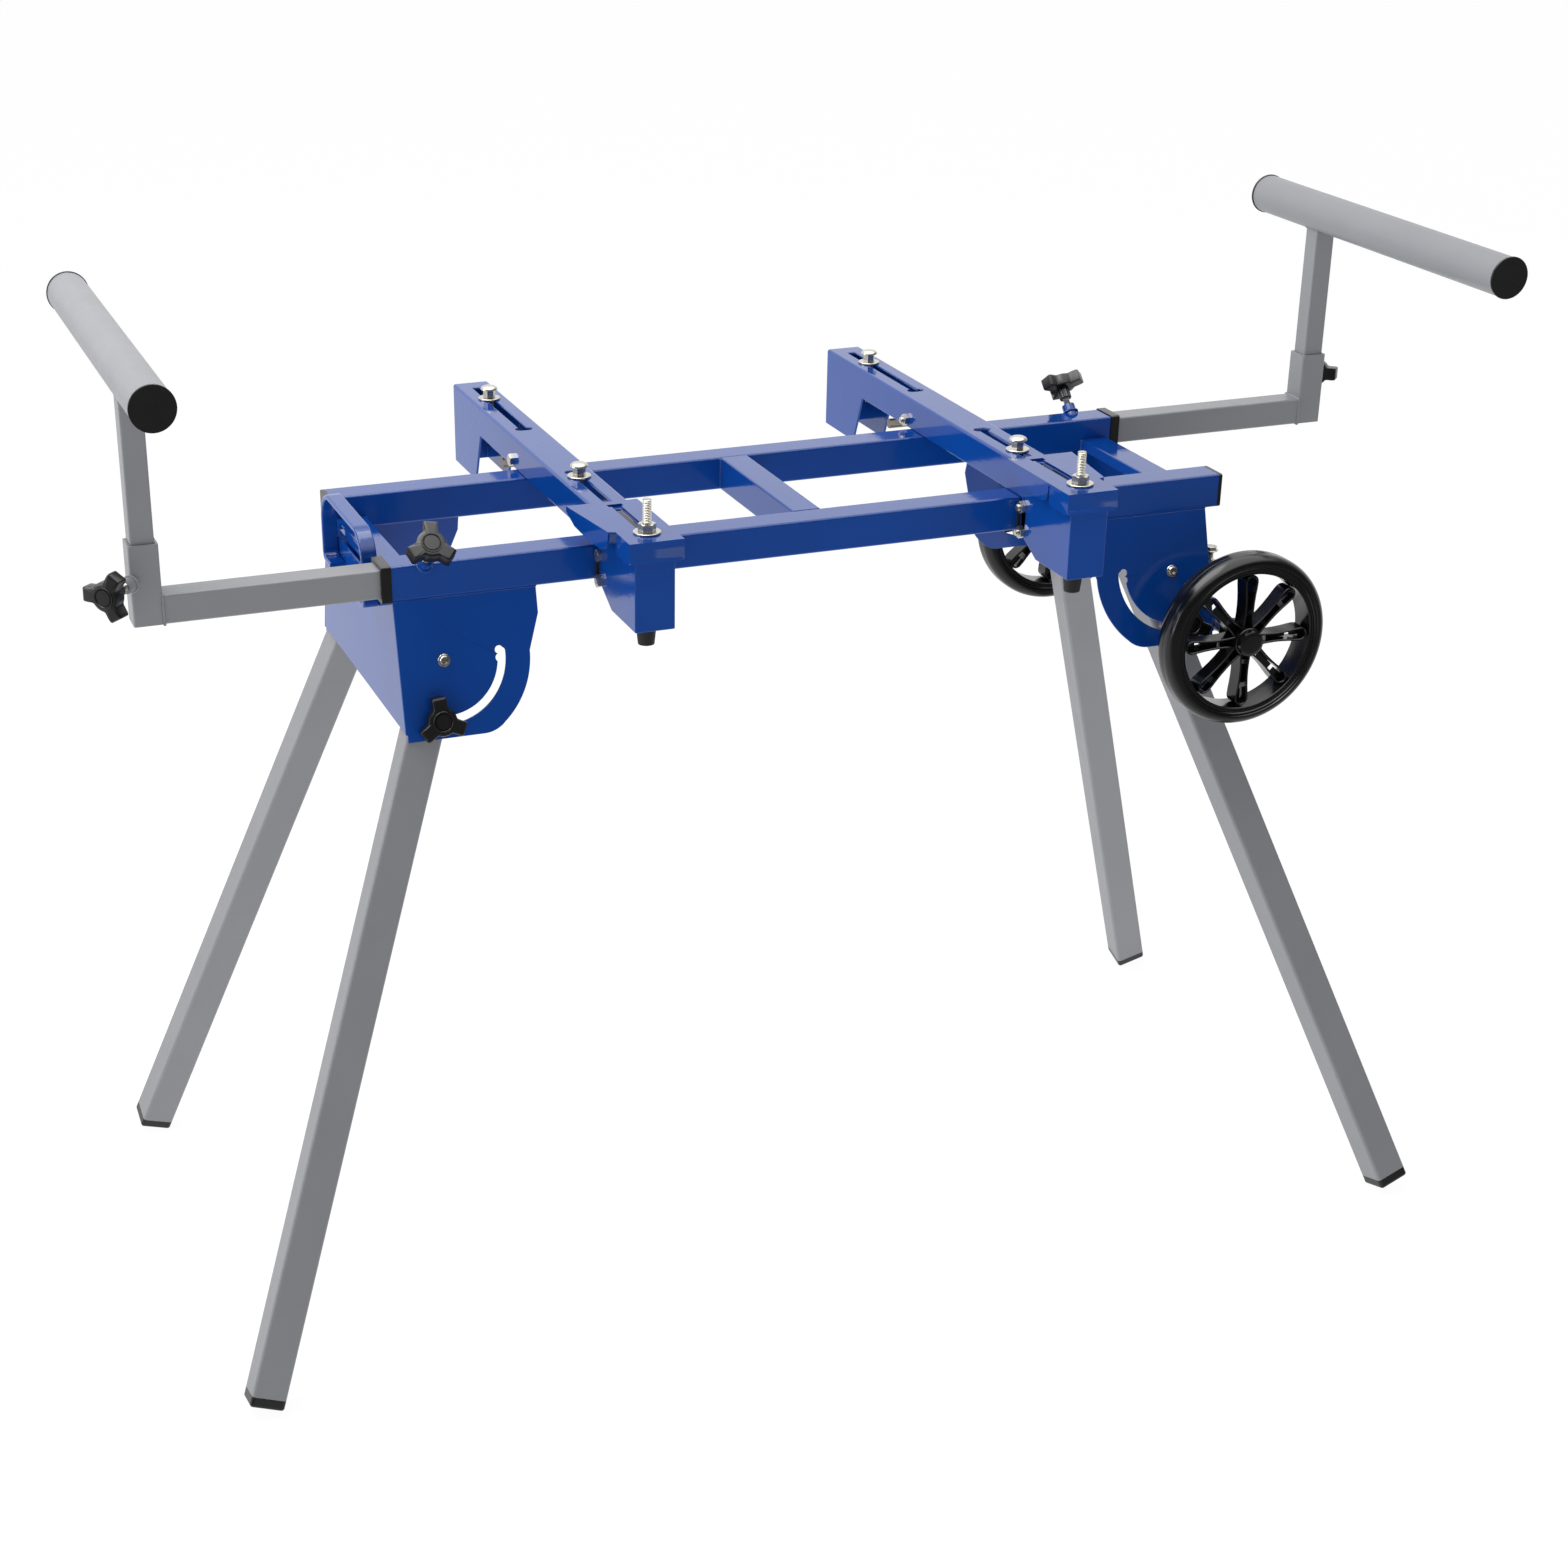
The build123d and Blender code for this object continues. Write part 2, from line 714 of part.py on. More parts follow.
# Handle at the left end
def handle():
    """A flat strip bent into a loop, its feet turned in against the left leg box."""
    half = handle_half_width - handle_strip_thick / 2
    top = handle_rise - handle_strip_thick / 2
    low = -handle_drop
    toe = half - handle_foot_length
    x = box_left_x - handle_strip_width / 2
    corners = [(-toe, low), (-half, low), (-half, top), (half, top), (half, low), (toe, low)]
    bends = [handle_foot_bend, handle_bend, handle_bend, handle_foot_bend]
    with BuildPart() as strip:
        with BuildLine(facing_side(x, 0, rail_top)) as path:
            FilletPolyline(*corners, radius=bends)
        with BuildSketch(Plane(origin=path.line @ 0, x_dir=(1, 0, 0), z_dir=path.line % 0)):
            RectangleRounded(handle_strip_width, handle_strip_thick, handle_strip_thick / 3)
        sweep()
    return strip


pieces["handle"] = handle()

# Axle and wheels
axle_x = box_right_x + axle_tube_diameter / 2
axle_height = rail_top + axle_z
axle_tube_half = end_plate_half("right", rail_bottom - axle_height) - axle_tube_inset
hub_inner_y = axle_tube_half + axle_collar_length + 2 * seat_gap
wheel_y = hub_inner_y + hub_width / 2
axle_end_y = wheel_y + hub_width / 2 - hub_floor


def axle_rod():
    """The rod through the tube and both hubs, with a collar inside each hub."""
    with BuildPart() as rod:
        with BuildSketch(facing_front(axle_x, 0, axle_height)):
            Circle(axle_diameter / 2)
        extrude(amount=axle_end_y - seat_gap, both=True)
        for side in sides.values():
            with BuildSketch(facing_front(axle_x, side * (hub_inner_y - seat_gap), axle_height)):
                Circle(axle_collar_diameter / 2)
            extrude(amount=side * axle_collar_length)
    return rod


def axle_tube():
    """The tube on the right leg box that carries the axle."""
    end_face = facing_front(axle_x, axle_tube_half, axle_height)
    return group([ring(end_face, axle_tube_diameter, axle_diameter, 2 * axle_tube_half)])


def tyre(side):
    """A rubber tyre with rounded shoulders."""
    middle = sides[side] * wheel_y
    with BuildPart() as ring_of_rubber:
        with BuildSketch(facing_side(axle_x, middle, axle_height)) as profile:
            with Locations((0, wheel_radius - tyre_depth / 2)):
                Rectangle(tyre_width, tyre_depth)
            fillet(profile.vertices().group_by(Axis.Y)[-1], tyre_shoulder)
        revolve(axis=Axis((axle_x, 0, axle_height), (0, 1, 0)))
    return ring_of_rubber


def rim(side):
    """A spoked rim: twin ribs join the hub to the ring under the tyre."""
    out = sides[side]
    face = Plane(origin=(axle_x, out * wheel_y, axle_height), x_dir=(1, 0, 0), z_dir=(0, out, 0))
    ring_radius = wheel_radius - tyre_depth
    rib_length = ring_radius - rim_ring / 2 - hub_diameter / 4
    rib_middle = (ring_radius - rim_ring / 2 + hub_diameter / 4) / 2
    rib_offset = (spoke_rib_width + spoke_rib_gap) / 2
    with BuildPart() as wheel:
        with BuildSketch(face.offset(-rim_width / 2)):
            Circle(ring_radius)
            Circle(ring_radius - rim_ring, mode=Mode.SUBTRACT)
        extrude(amount=rim_width)
        with BuildSketch(face.offset(-hub_width / 2)):
            Circle(hub_diameter / 2)
        extrude(amount=hub_width + hub_cap_height)
        with BuildSketch(face.offset(spoke_offset - spoke_depth / 2)):
            for rib in (-1, 1):
                with PolarLocations(0, spoke_count):
                    with Locations(Location((rib_middle, rib * rib_offset), rib * spoke_splay)):
                        Rectangle(rib_length, spoke_rib_width)
        extrude(amount=spoke_depth)
        with BuildSketch(face.offset(-hub_width / 2)):
            Circle(axle_diameter / 2 + hole_gap)
        extrude(amount=hub_width - hub_floor, mode=Mode.SUBTRACT)
    return wheel


pieces["axle_rod"] = axle_rod()
pieces["axle_tube"] = axle_tube()
for side in sides:
    pieces[f"{side}_tyre"] = tyre(side)
    pieces[f"{side}_rim"] = rim(side)


def lug_top(side):
    """The top of a lug on the right end plate, at its bolt."""
    return facing_up(box_right_x + lug_reach / 2, sides[side] * lug_y, rail_bottom - lug_drop)


def lug_bolt(side):
    """A flanged bolt that stands in a lug between two nuts."""
    top = lug_top(side)
    head = top.offset(lug_bolt_rise)
    with BuildPart() as bolt:
        add(hex_bolt(head, lug_bolt_diameter, lug_bolt_across, lug_bolt_head, lug_bolt_length))
        with BuildSketch(head):
            Circle(lug_bolt_flange_diameter / 2)
        extrude(amount=lug_bolt_flange_thick)
    upper_nut = ring(top.offset(seat_gap), lug_bolt_across, lug_bolt_diameter, lug_nut_height, 6)
    under = top.offset(-lug_thick - seat_gap)
    return [bolt.part, upper_nut, ring(under, lug_bolt_across, lug_bolt_diameter, -lug_nut_height, 6)]


with BuildPart() as plate_with_lugs:
    add(pieces["right_end_plate"].part)
    for side in sides:
        with BuildSketch(lug_top(side)):
            Rectangle(lug_reach, lug_width)
            Circle(lug_bolt_diameter / 2 + hole_gap, mode=Mode.SUBTRACT)
        extrude(amount=-lug_thick)
pieces["right_end_plate"] = plate_with_lugs
frame_fasteners = [solid for end in ends for side in sides for solid in pivot_bolt(end, side)]
frame_fasteners += [solid for side in sides for solid in lug_bolt(side)]
pieces["frame_bolts"] = group(frame_fasteners)


# Brackets across the rails
side_bolt_spots = ((side_bolt_y, upper_bolt_z), (side_bolt_y, lower_bolt_z), (lever_pin_y, lever_pin_z))


def bracket_outline(x):
    """A bracket's side: deep at both ends, shallow over the rails."""
    low = bracket_clear
    hook = -rail_outer_y - front_hook_gap
    with BuildSketch(facing_side(x, 0, rail_top)) as outline:
        with BuildLine():
            Polyline(
                (bracket_front_y, bracket_top),
                (bracket_front_y, -bracket_end_drop),
                (bracket_front_y + front_end_length, -bracket_end_drop),
                (hook - front_hook_lip, -front_hook_drop),
                (hook, -front_hook_drop),
                (hook, low),
                (bracket_rear_y - rear_end_upper, low),
                (bracket_rear_y - rear_end_lower, -bracket_end_drop),
                (bracket_rear_y, -bracket_end_drop),
                (bracket_rear_y, bracket_top),
                close=True,
            )
        make_face()
    return outline.sketch


def bracket(end):
    """A steel channel, open below, with slots for the saw's bolts."""
    x = bracket_x[end]
    half = bracket_width / 2
    inner = half - bracket_sheet
    inner_front = bracket_front_y + bracket_sheet
    inner_rear = bracket_rear_y - bracket_sheet
    top = facing_up(x, 0, rail_top + bracket_top)
    outline = bracket_outline(x - half)
    with BuildPart() as channel:
        extrude(outline, amount=bracket_width)
        fillet(channel.edges().filter_by(Axis.Y).group_by(Axis.Z)[-1], bracket_corner)
        with BuildSketch(top.offset(-bracket_sheet)):
            with Locations((0, (inner_front + inner_rear) / 2)):
                Rectangle(2 * inner, inner_rear - inner_front)
        extrude(amount=-bracket_top - bracket_end_drop, mode=Mode.SUBTRACT)
        with BuildSketch(facing_up(x, inner_front + tab_length / 2, rail_top - bracket_end_drop)):
            Rectangle(2 * inner, tab_length)
        extrude(amount=tab_height)
        with BuildSketch(top):
            for front, rear, key in ((rear_slot_front, rear_slot_rear, rear_slot_front),
                                     (front_slot_front, front_slot_rear, front_slot_rear - key_length)):
                with Locations((0, (front + rear) / 2)):
                    Rectangle(slot_track, rear - front)
                with Locations((0, key + key_length / 2)):
                    SlotOverall(key_width, key_length)
            stud_front, stud_rear = stud_y - stud_diameter / 2 - hole_gap, cover_slot_rear - cover_key_length
            with Locations((0, (stud_front + stud_rear) / 2)):
                Rectangle(stud_diameter + 2 * hole_gap, stud_rear - stud_front)
        extrude(amount=-bracket_sheet - cut_overrun, mode=Mode.SUBTRACT)
        with BuildSketch(facing_side(x - half, 0, rail_top)):
            with Locations(*side_bolt_spots):
                Circle(side_bolt_diameter / 2 + hole_gap)
        extrude(amount=bracket_width, mode=Mode.SUBTRACT)
        with BuildSketch(facing_up(x, bumper_y, rail_top - bracket_end_drop)):
            Circle(bumper_screw_diameter / 2 + hole_gap)
        extrude(amount=tab_height, mode=Mode.SUBTRACT)
    return channel


def bracket_bolts(end):
    """The bolts through a bracket's sides, and the stud through its top, with nuts and washers."""
    out = ends[end]
    face_x = bracket_x[end] + out * bracket_width / 2
    far = -bracket_width - seat_gap
    solids = []
    for y, z in side_bolt_spots:
        head = Plane(origin=(face_x, y, rail_top + z), x_dir=(0, 1, 0), z_dir=(out, 0, 0))
        length = bracket_width + side_bolt_head + side_bolt_diameter / 2
        solids.append(hex_bolt(head, side_bolt_diameter, side_bolt_across, side_bolt_head, length))
        solids.append(ring(head.offset(far), side_bolt_across, side_bolt_diameter, -side_bolt_head, 6))
    top = facing_up(bracket_x[end], stud_y, rail_top + bracket_top)
    cover_top = bracket_clear + cover_sheet
    washer = top.offset(cover_top + seat_gap)
    nut = washer.offset(washer_thick + seat_gap)
    under_nut = top.offset(-bracket_sheet - seat_gap)
    free_end = cover_top + washer_thick + stud_nut_height + 3 * seat_gap
    # The free end is a pin of its own; the washer and nuts sit on a finer stretch under it
    with BuildPart() as stud:
        with BuildSketch(top.offset(-stud_drop)):
            Circle(stud_seat_diameter / 2)
        extrude(amount=stud_drop + free_end)
        with BuildSketch(top.offset(free_end)):
            Circle(stud_diameter / 2)
        extrude(amount=stud_rise - bracket_top - free_end)
    solids.append(stud.part)
    solids.append(ring(washer, stud_washer_diameter, stud_seat_diameter, washer_thick))
    solids.append(ring(nut, stud_nut_across, stud_seat_diameter, stud_nut_height, 6))
    solids.append(ring(under_nut, stud_nut_across, stud_seat_diameter, -stud_nut_height, 6))
    return group(solids)


def bracket_rubber(end):
    """The pad that bears on the front rail, and the rubber foot under the front end."""
    x = bracket_x[end]
    half = bracket_width / 2 + pad_overhang
    pad_front = -rail_outer_y - front_hook_gap + bracket_clear
    pad_thick = front_hook_gap - 2 * bracket_clear
    pad_middle = (upper_bolt_z + lower_bolt_z) / 2
    z_span = (rail_top + pad_middle - pad_height / 2, rail_top + pad_middle + pad_height / 2)
    pad = block((x - half, x + half), (pad_front, pad_front + pad_thick), z_span)
    seat = facing_up(x, bumper_y, rail_top - bracket_end_drop)
    with BuildPart() as bumper:
        with BuildSketch(seat):
            Circle(bumper_diameter / 2)
        with BuildSketch(seat.offset(-bumper_height)):
            Circle(bumper_tip_diameter / 2)
        loft()
        with BuildSketch(seat):
            Circle(bumper_screw_diameter / 2)
        extrude(amount=2 * tab_height)
    return group([pad.part, bumper.part])


def lever(end):
    """A cam on the rear bolt with a blade that the hand pulls."""
    start = facing_side(bracket_x[end] - lever_width / 2, lever_pin_y, rail_top + lever_pin_z)
    droop = radians(lever_droop_angle)
    blade = Vector(lever_length * cos(droop), -lever_length * sin(droop))
    corner_y, corner_z = lever_pin_y - rail_outer_y + rail_corner, lever_pin_z + rail_corner
    cam_radius = sqrt(corner_y**2 + corner_z**2) - rail_corner - seat_gap
    with BuildPart() as cam:
        with BuildSketch(start):
            Circle(cam_radius)
            with Locations(Location(blade / 2, -lever_droop_angle)):
                Rectangle(lever_length, lever_blade_thick)
            with Locations(blade):
                Circle(lever_tip / 2)
            Circle(side_bolt_diameter / 2 + hole_gap, mode=Mode.SUBTRACT)
        extrude(amount=lever_width)
    return cam


def flange(plane, length, thickness):
    """A side flange that deepens towards the front and ends in a round hook."""
    drop = cover_flange_drop
    points = [(length * along, -drop * down) for along, down in flange_shares]
    hook_end = (length, -drop + length - points[-1][0])
    with BuildPart() as side:
        with BuildSketch(plane):
            with BuildLine():
                Polyline(hook_end, (length, 0), (0, 0), *points)
                TangentArc([points[-1], hook_end], tangent=(1, 0))
            make_face()
        extrude(amount=thickness)
    return side.part


def cover(end):
    """The sliding cover on a bracket's front end, with a hood and two hooked flanges."""
    out = ends[end]
    half = cover_width / 2
    under = rail_top + bracket_top + bracket_clear
    plate = facing_up(bracket_x[end], 0, under)
    top = under + cover_sheet
    slot_width_here = stud_diameter + cut_overrun
    hood_rear = cover_front_y + cover_hood_depth
    wing_run = Vector(out * (cover_wing_front - cover_wing_rear), cover_wing_end_y - cover_rear_y, 0)
    wing_start = Vector(bracket_x[end] + out * cover_wing_rear, cover_rear_y, top)
    inner_start = Vector(bracket_x[end] - out * half, cover_rear_y - cover_flange_start, top)
    wing_plane = Plane(origin=wing_start, x_dir=wing_run, z_dir=wing_run.cross(Vector(0, 0, 1)))
    inner_plane = Plane(origin=inner_start, x_dir=(0, -1, 0), z_dir=(-1, 0, 0))
    inner_length = cover_rear_y - cover_flange_start - cover_wing_end_y
    flanges = [flange(wing_plane, wing_run.length, out * cover_sheet),
               flange(inner_plane, inner_length, -out * cover_sheet)]
    with BuildPart() as sheet:
        with BuildSketch(plate):
            with BuildLine():
                Polyline((-out * half, cover_rear_y), (out * cover_wing_rear, cover_rear_y),
                         (out * cover_wing_front, cover_wing_end_y), (out * half, hood_rear),
                         (out * half, cover_front_y), (-out * half, cover_front_y), close=True)
            make_face()
            with Locations((0, (cover_slot_front + cover_slot_rear) / 2)):
                Rectangle(slot_width_here, cover_slot_rear - cover_slot_front, mode=Mode.SUBTRACT)
            with Locations((0, cover_slot_rear - cover_key_length / 2)):
                Rectangle(cover_key_width, cover_key_length, mode=Mode.SUBTRACT)
        extrude(amount=cover_sheet)
        with BuildSketch(facing_front(bracket_x[end], cover_front_y, top - cover_hood_drop / 2)) as apron:
            Rectangle(cover_width, cover_hood_drop)
            fillet(apron.vertices().group_by(Axis.Y)[0], cover_hood_corner)
        extrude(amount=-cover_sheet)
        for edge in (-1, 1):
            side_x, middle_y = bracket_x[end] + edge * half, (cover_front_y + hood_rear) / 2
            with BuildSketch(facing_side(side_x, middle_y, top - cover_hood_drop / 2)) as cheek:
                Rectangle(cover_hood_depth, cover_hood_drop)
                fillet(cheek.vertices().group_by(Axis.Y)[0], cover_hood_corner)
            extrude(amount=-edge * cover_sheet)
        add(flanges)
    return sheet


def saw_bolt(x, y):
    """A round headed bolt in a slot, with its washer above and its nut below."""
    top = facing_up(x, y, rail_top + bracket_top)
    head_base = saw_bolt_rise - saw_bolt_head_height
    neck_base = washer_thick + 2 * seat_gap
    with BuildPart() as bolt:
        with BuildSketch(top.offset(head_base)):
            Circle(saw_bolt_head_diameter / 2)
        extrude(amount=saw_bolt_head_height)
        fillet(bolt.edges().group_by(Axis.Z)[-1], saw_bolt_head_height / 2)
        with BuildSketch(top.offset(neck_base)):
            RegularPolygon(saw_bolt_neck_across / sqrt(3), 6)
        extrude(amount=head_base - neck_base)
        with BuildSketch(top.offset(-saw_bolt_drop)):
            Circle(saw_bolt_diameter / 2)
        extrude(amount=saw_bolt_drop + neck_base)
    washer = ring(top.offset(seat_gap), saw_washer_diameter, saw_bolt_diameter, washer_thick)
    under = top.offset(-bracket_sheet - seat_gap)
    nut = ring(under, saw_bolt_neck_across, saw_bolt_diameter, -saw_nut_height, 6)
    return group([bolt.part, washer, nut])


for end in ends:
    pieces[f"{end}_bracket"] = bracket(end)
    pieces[f"{end}_bracket_bolts"] = bracket_bolts(end)
    pieces[f"{end}_bracket_rubber"] = bracket_rubber(end)
    pieces[f"{end}_lever"] = lever(end)
    pieces[f"{end}_cover"] = cover(end)
    pieces[f"{end}_rear_saw_bolt"] = saw_bolt(bracket_x[end], saw_bolt_rear_y)
    pieces[f"{end}_front_saw_bolt"] = saw_bolt(bracket_x[end], saw_bolt_y[end])

os.makedirs("parts", exist_ok=True)
for label, piece in pieces.items():
    finished = piece.part.moved(Location((origin_shift_x, origin_shift_y, 0)))
    finished.label = label
    export_step(finished, f"parts/{label}.step")
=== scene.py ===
import json
from math import cos, pi, radians, sin, sqrt, tan

import bmesh
import bpy
from mathutils import Matrix, Vector


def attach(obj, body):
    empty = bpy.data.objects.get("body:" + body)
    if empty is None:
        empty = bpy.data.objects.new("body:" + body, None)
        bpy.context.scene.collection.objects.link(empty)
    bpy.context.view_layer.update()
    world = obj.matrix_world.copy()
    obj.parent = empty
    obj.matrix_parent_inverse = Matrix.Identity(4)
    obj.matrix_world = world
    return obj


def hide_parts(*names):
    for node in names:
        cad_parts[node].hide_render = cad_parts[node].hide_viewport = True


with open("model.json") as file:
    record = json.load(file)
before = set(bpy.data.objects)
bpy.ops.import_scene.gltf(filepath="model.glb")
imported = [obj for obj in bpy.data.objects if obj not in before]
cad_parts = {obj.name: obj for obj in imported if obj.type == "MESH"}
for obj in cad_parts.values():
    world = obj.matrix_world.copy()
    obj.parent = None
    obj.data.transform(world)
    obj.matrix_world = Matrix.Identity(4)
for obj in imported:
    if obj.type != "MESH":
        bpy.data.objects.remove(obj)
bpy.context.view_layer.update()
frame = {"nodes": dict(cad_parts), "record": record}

nodes = frame["nodes"]

# Lengths are in millimetres, counted from the middle of the rails and from the
# rails' top, and become metres in the model's frame on their way into a mesh.
MM = 0.001
SHIFT = Vector((-17.0, -25.17, 900.0))
ENDS = {"left": -1, "right": 1}
SIDES = {"front": -1, "rear": 1}

# Rails, with the arms that slide in them, the posts and the round bars
RAIL_OUTER_Y, RAIL_SIZE = 151.7, 39.0
RAIL_Y = RAIL_OUTER_Y - RAIL_SIZE / 2
RAIL_END_X = {"left": -495.0, "right": 501.0}
ARM_SIZE, POST_SIZE, BAR_Z, BAR_RADIUS = 32.0, 25.4, 228.0, 23.0
ARM_SIDE = {"left": -1, "right": 1}    # the left arm runs in the front rail, the right one in the rear rail
POST_X = {"left": -754.0, "right": 788.0}

# Leg boxes and legs
BOX_X = {"left": -494.8, "right": 486.0}
FLARE = {"left": 14.0, "right": 17.7}
LEG_GAP = {"left": 0.6, "right": 54.0}
PIVOT_INSET, PIVOT_DEPTH, SHEET, LEG_SIZE = 50.0, 68.0, 2.5, 40.0
SLOT_RADIUS, SLOT_START = 64.75, -10.4

# Brackets and the covers that slide on them
BRACKET_X = {"left": -241.5, "right": 266.0}
BRACKET_TOP, BRACKET_HALF, BRACKET_SHEET = 37.0, 22.5, 3.0
COVER_PLAY, COVER_SHEET = 0.3, 2.5
COVER_TOP = BRACKET_TOP + COVER_PLAY + COVER_SHEET

# Hardware: a thread's radius and pitch, a nut's size across the flats, its bore just inside the
# thread and its height. The side bolts of the brackets have thinner heads and nuts. The real
# pitches of 1.25 and 1.5 mm are drawn coarser, so that they show.
M8, M8_HEX, M8_BORE, M8_NUT, M8_THIN = (4.0, 1.6), 13.0, 3.9, 6.5, 5.5
M10, M10_HEX, M10_BORE, M10_NUT = (5.0, 1.8), 17.0, 4.9, 8.5
WASHER, WASHER_PLAY = 2.0, 0.05
SEAT = 0.2    # play under a head, nut or washer


# Small tools
def metres(point):
    """A place in the stand's own millimetres, as metres in the model's frame."""
    return (Vector(point) + SHIFT) * MM


def turned_to(origin, z_axis, x_axis):
    """A matrix that lays a piece built in millimetres about +Z at its place in the model."""
    z = Vector(z_axis).normalized()
    x = (Vector(x_axis) - z * Vector(x_axis).dot(z)).normalized()
    turn = Matrix((x, z.cross(x), z)).transposed().to_4x4()
    return Matrix.Translation(metres(origin)) @ turn @ Matrix.Scale(MM, 4)


def linear(hex_colour):
    """An sRGB hex colour as linear red, green, blue and alpha."""
    values = [int(hex_colour[i:i + 2], 16) / 255 for i in (1, 3, 5)]
    return [c / 12.92 if c <= 0.04045 else ((c + 0.055) / 1.055) ** 2.4 for c in values] + [1.0]


def add(tree, kind, inputs=None, **settings):
    """One node with its settings, values and links."""
    made = tree.nodes.new(kind)
    for name, value in settings.items():
        setattr(made, name, value)
    for name, value in (inputs or {}).items():
        if isinstance(value, bpy.types.NodeSocket):
            tree.links.new(value, made.inputs[name])
        else:
            made.inputs[name].default_value = value
    return made


def put_in_scene(name, data):
    """A new object with its mesh, lamp or camera, in the scene."""
    made = bpy.data.objects.new(name, data)
    bpy.context.scene.collection.objects.link(made)
    return made


# Finishes
def start_material(name):
    """A new material, its node tree and the place on the piece that its patterns follow."""
    material = bpy.data.materials.new(name)
    material.use_nodes = True
    tree = material.node_tree
    tree.nodes.clear()
    return material, tree, add(tree, "ShaderNodeTexCoord").outputs["Object"]


def lumps(place, size, detail, rough=0.5):
    """The inputs of a noise whose lumps are about the given size, in millimetres."""
    return {"Vector": place, "Scale": 1.0 / (size * MM), "Detail": detail, "Roughness": rough}


def close_finish(tree, shade, colours, wear, roughness, height, strength, depth, fixed):
    """Ends a finish: two colours mixed by one pattern, gloss spread by another, and a relief
    whose depth is in millimetres."""
    tint = add(tree, "ShaderNodeMix", {"Factor": shade, 6: linear(colours[0]), 7: linear(colours[1])},
               data_type="RGBA")
    gloss = add(tree, "ShaderNodeMapRange", {"Value": wear, "To Min": roughness[0], "To Max": roughness[1]})
    relief = add(tree, "ShaderNodeBump", {"Height": height, "Strength": strength, "Distance": depth * MM})
    shader = add(tree, "ShaderNodeBsdfPrincipled", {
        "Base Color": tint.outputs[2], "Roughness": gloss.outputs[0], "Normal": relief.outputs[0], **fixed})
    add(tree, "ShaderNodeOutputMaterial", {"Surface": shader.outputs[0]})


def powder_coat(name, colour, dark, roughness, peel, peel_strength):
    """Sprayed and baked powder paint: an even colour with a fine orange peel in its gloss,
    a little deeper where the coat is thick."""
    material, tree, place = start_material(name)
    thick = add(tree, "ShaderNodeTexNoise", lumps(place, 90.0, 2.0))
    smudges = add(tree, "ShaderNodeTexNoise", lumps(place, 28.0, 4.0, 0.6))
    fine = add(tree, "ShaderNodeTexNoise", lumps(place, peel, 2.0))
    broad = add(tree, "ShaderNodeTexNoise", lumps(place, 3.0 * peel, 1.0))
    both = add(tree, "ShaderNodeMath", {0: broad.outputs["Fac"], 1: 2.5, 2: fine.outputs["Fac"]},
               operation="MULTIPLY_ADD")
    close_finish(tree, thick.outputs["Fac"], (dark, colour), smudges.outputs["Fac"],
                 (roughness * 0.85, roughness * 1.2), both.outputs[0], peel_strength, 0.05, {"IOR": 1.5})
    return material


def zinc_plate(name, colour, shade, roughness):
    """Bright zinc plating on steel: a pale metal, slightly blotched, with fine drawn marks."""
    material, tree, place = start_material(name)
    blotches = add(tree, "ShaderNodeTexNoise", lumps(place, 3.0, 3.0))
    rubbed = add(tree, "ShaderNodeTexNoise", lumps(place, 1.2, 4.0))
    marks = add(tree, "ShaderNodeTexNoise", lumps(place, 0.5, 2.0))
    close_finish(tree, blotches.outputs["Fac"], (shade, colour), rubbed.outputs["Fac"],
                 (roughness * 0.7, roughness * 1.4), marks.outputs["Fac"], 0.15, 0.02, {"Metallic": 0.94})
    return material


def moulded_plastic(name, colour, pale, roughness, texture_size, relief_strength):
    """Moulded plastic or rubber: near black, with the tool's fine spark texture and faint flow marks."""
    material, tree, place = start_material(name)
    flow = add(tree, "ShaderNodeTexNoise", lumps(place, 18.0, 3.0)).outputs["Fac"]
    spark = add(tree, "ShaderNodeTexNoise", lumps(place, texture_size, 2.0))
    close_finish(tree, flow, (colour, pale), flow, (roughness * 0.85, roughness * 1.15),
                 spark.outputs["Fac"], relief_strength, 0.05, {"IOR": 1.48})
    return material


# Powder coat has an orange peel of one to two millimetres. The spark texture of a mould is about
# a tenth of a millimetre, too fine to show, so it is drawn at 0.35 to 0.5 mm.
FINISHES = {
    "blue_paint": powder_coat("blue_gloss_powder_coat", "#094294", "#073b89", 0.09, 2.2, 0.5),
    "gray_paint": powder_coat("gray_satin_powder_coat", "#898a8e", "#818286", 0.38, 1.1, 0.4),
    "lever_paint": powder_coat("lever_satin_paint", "#6d6459", "#5f574d", 0.45, 1.2, 0.4),
    "zinc": zinc_plate("zinc_plated_steel", "#cfccc3", "#b2afa5", 0.24),
    "black_plastic": moulded_plastic("black_moulded_nylon", "#0f0f10", "#161617", 0.28, 0.35, 0.25),
    "wheel_plastic": moulded_plastic("black_moulded_wheel", "#0a0a0b", "#101012", 0.2, 0.4, 0.15),
    "tyre_rubber": moulded_plastic("black_tyre_rubber", "#08080a", "#0d0d0f", 0.19, 0.5, 0.04),
    "pad_rubber": moulded_plastic("black_pad_rubber", "#1a1a1a", "#232323", 0.6, 0.5, 0.4)}
SLOT_OF = {s["node"]: s["material_slot"] for s in frame["record"]["subparts"]}
BODY_OF = {name: body for body, names in frame["record"]["behaviour"]["bodies"].items() for name in names}
for name, node in nodes.items():
    node.data.materials.clear()
    node.data.materials.append(FINISHES[SLOT_OF[name]])


# Points of one piece this near to each other, in metres, are one point
SAME_POINT, SHADED_ANGLE = 1e-7, 32


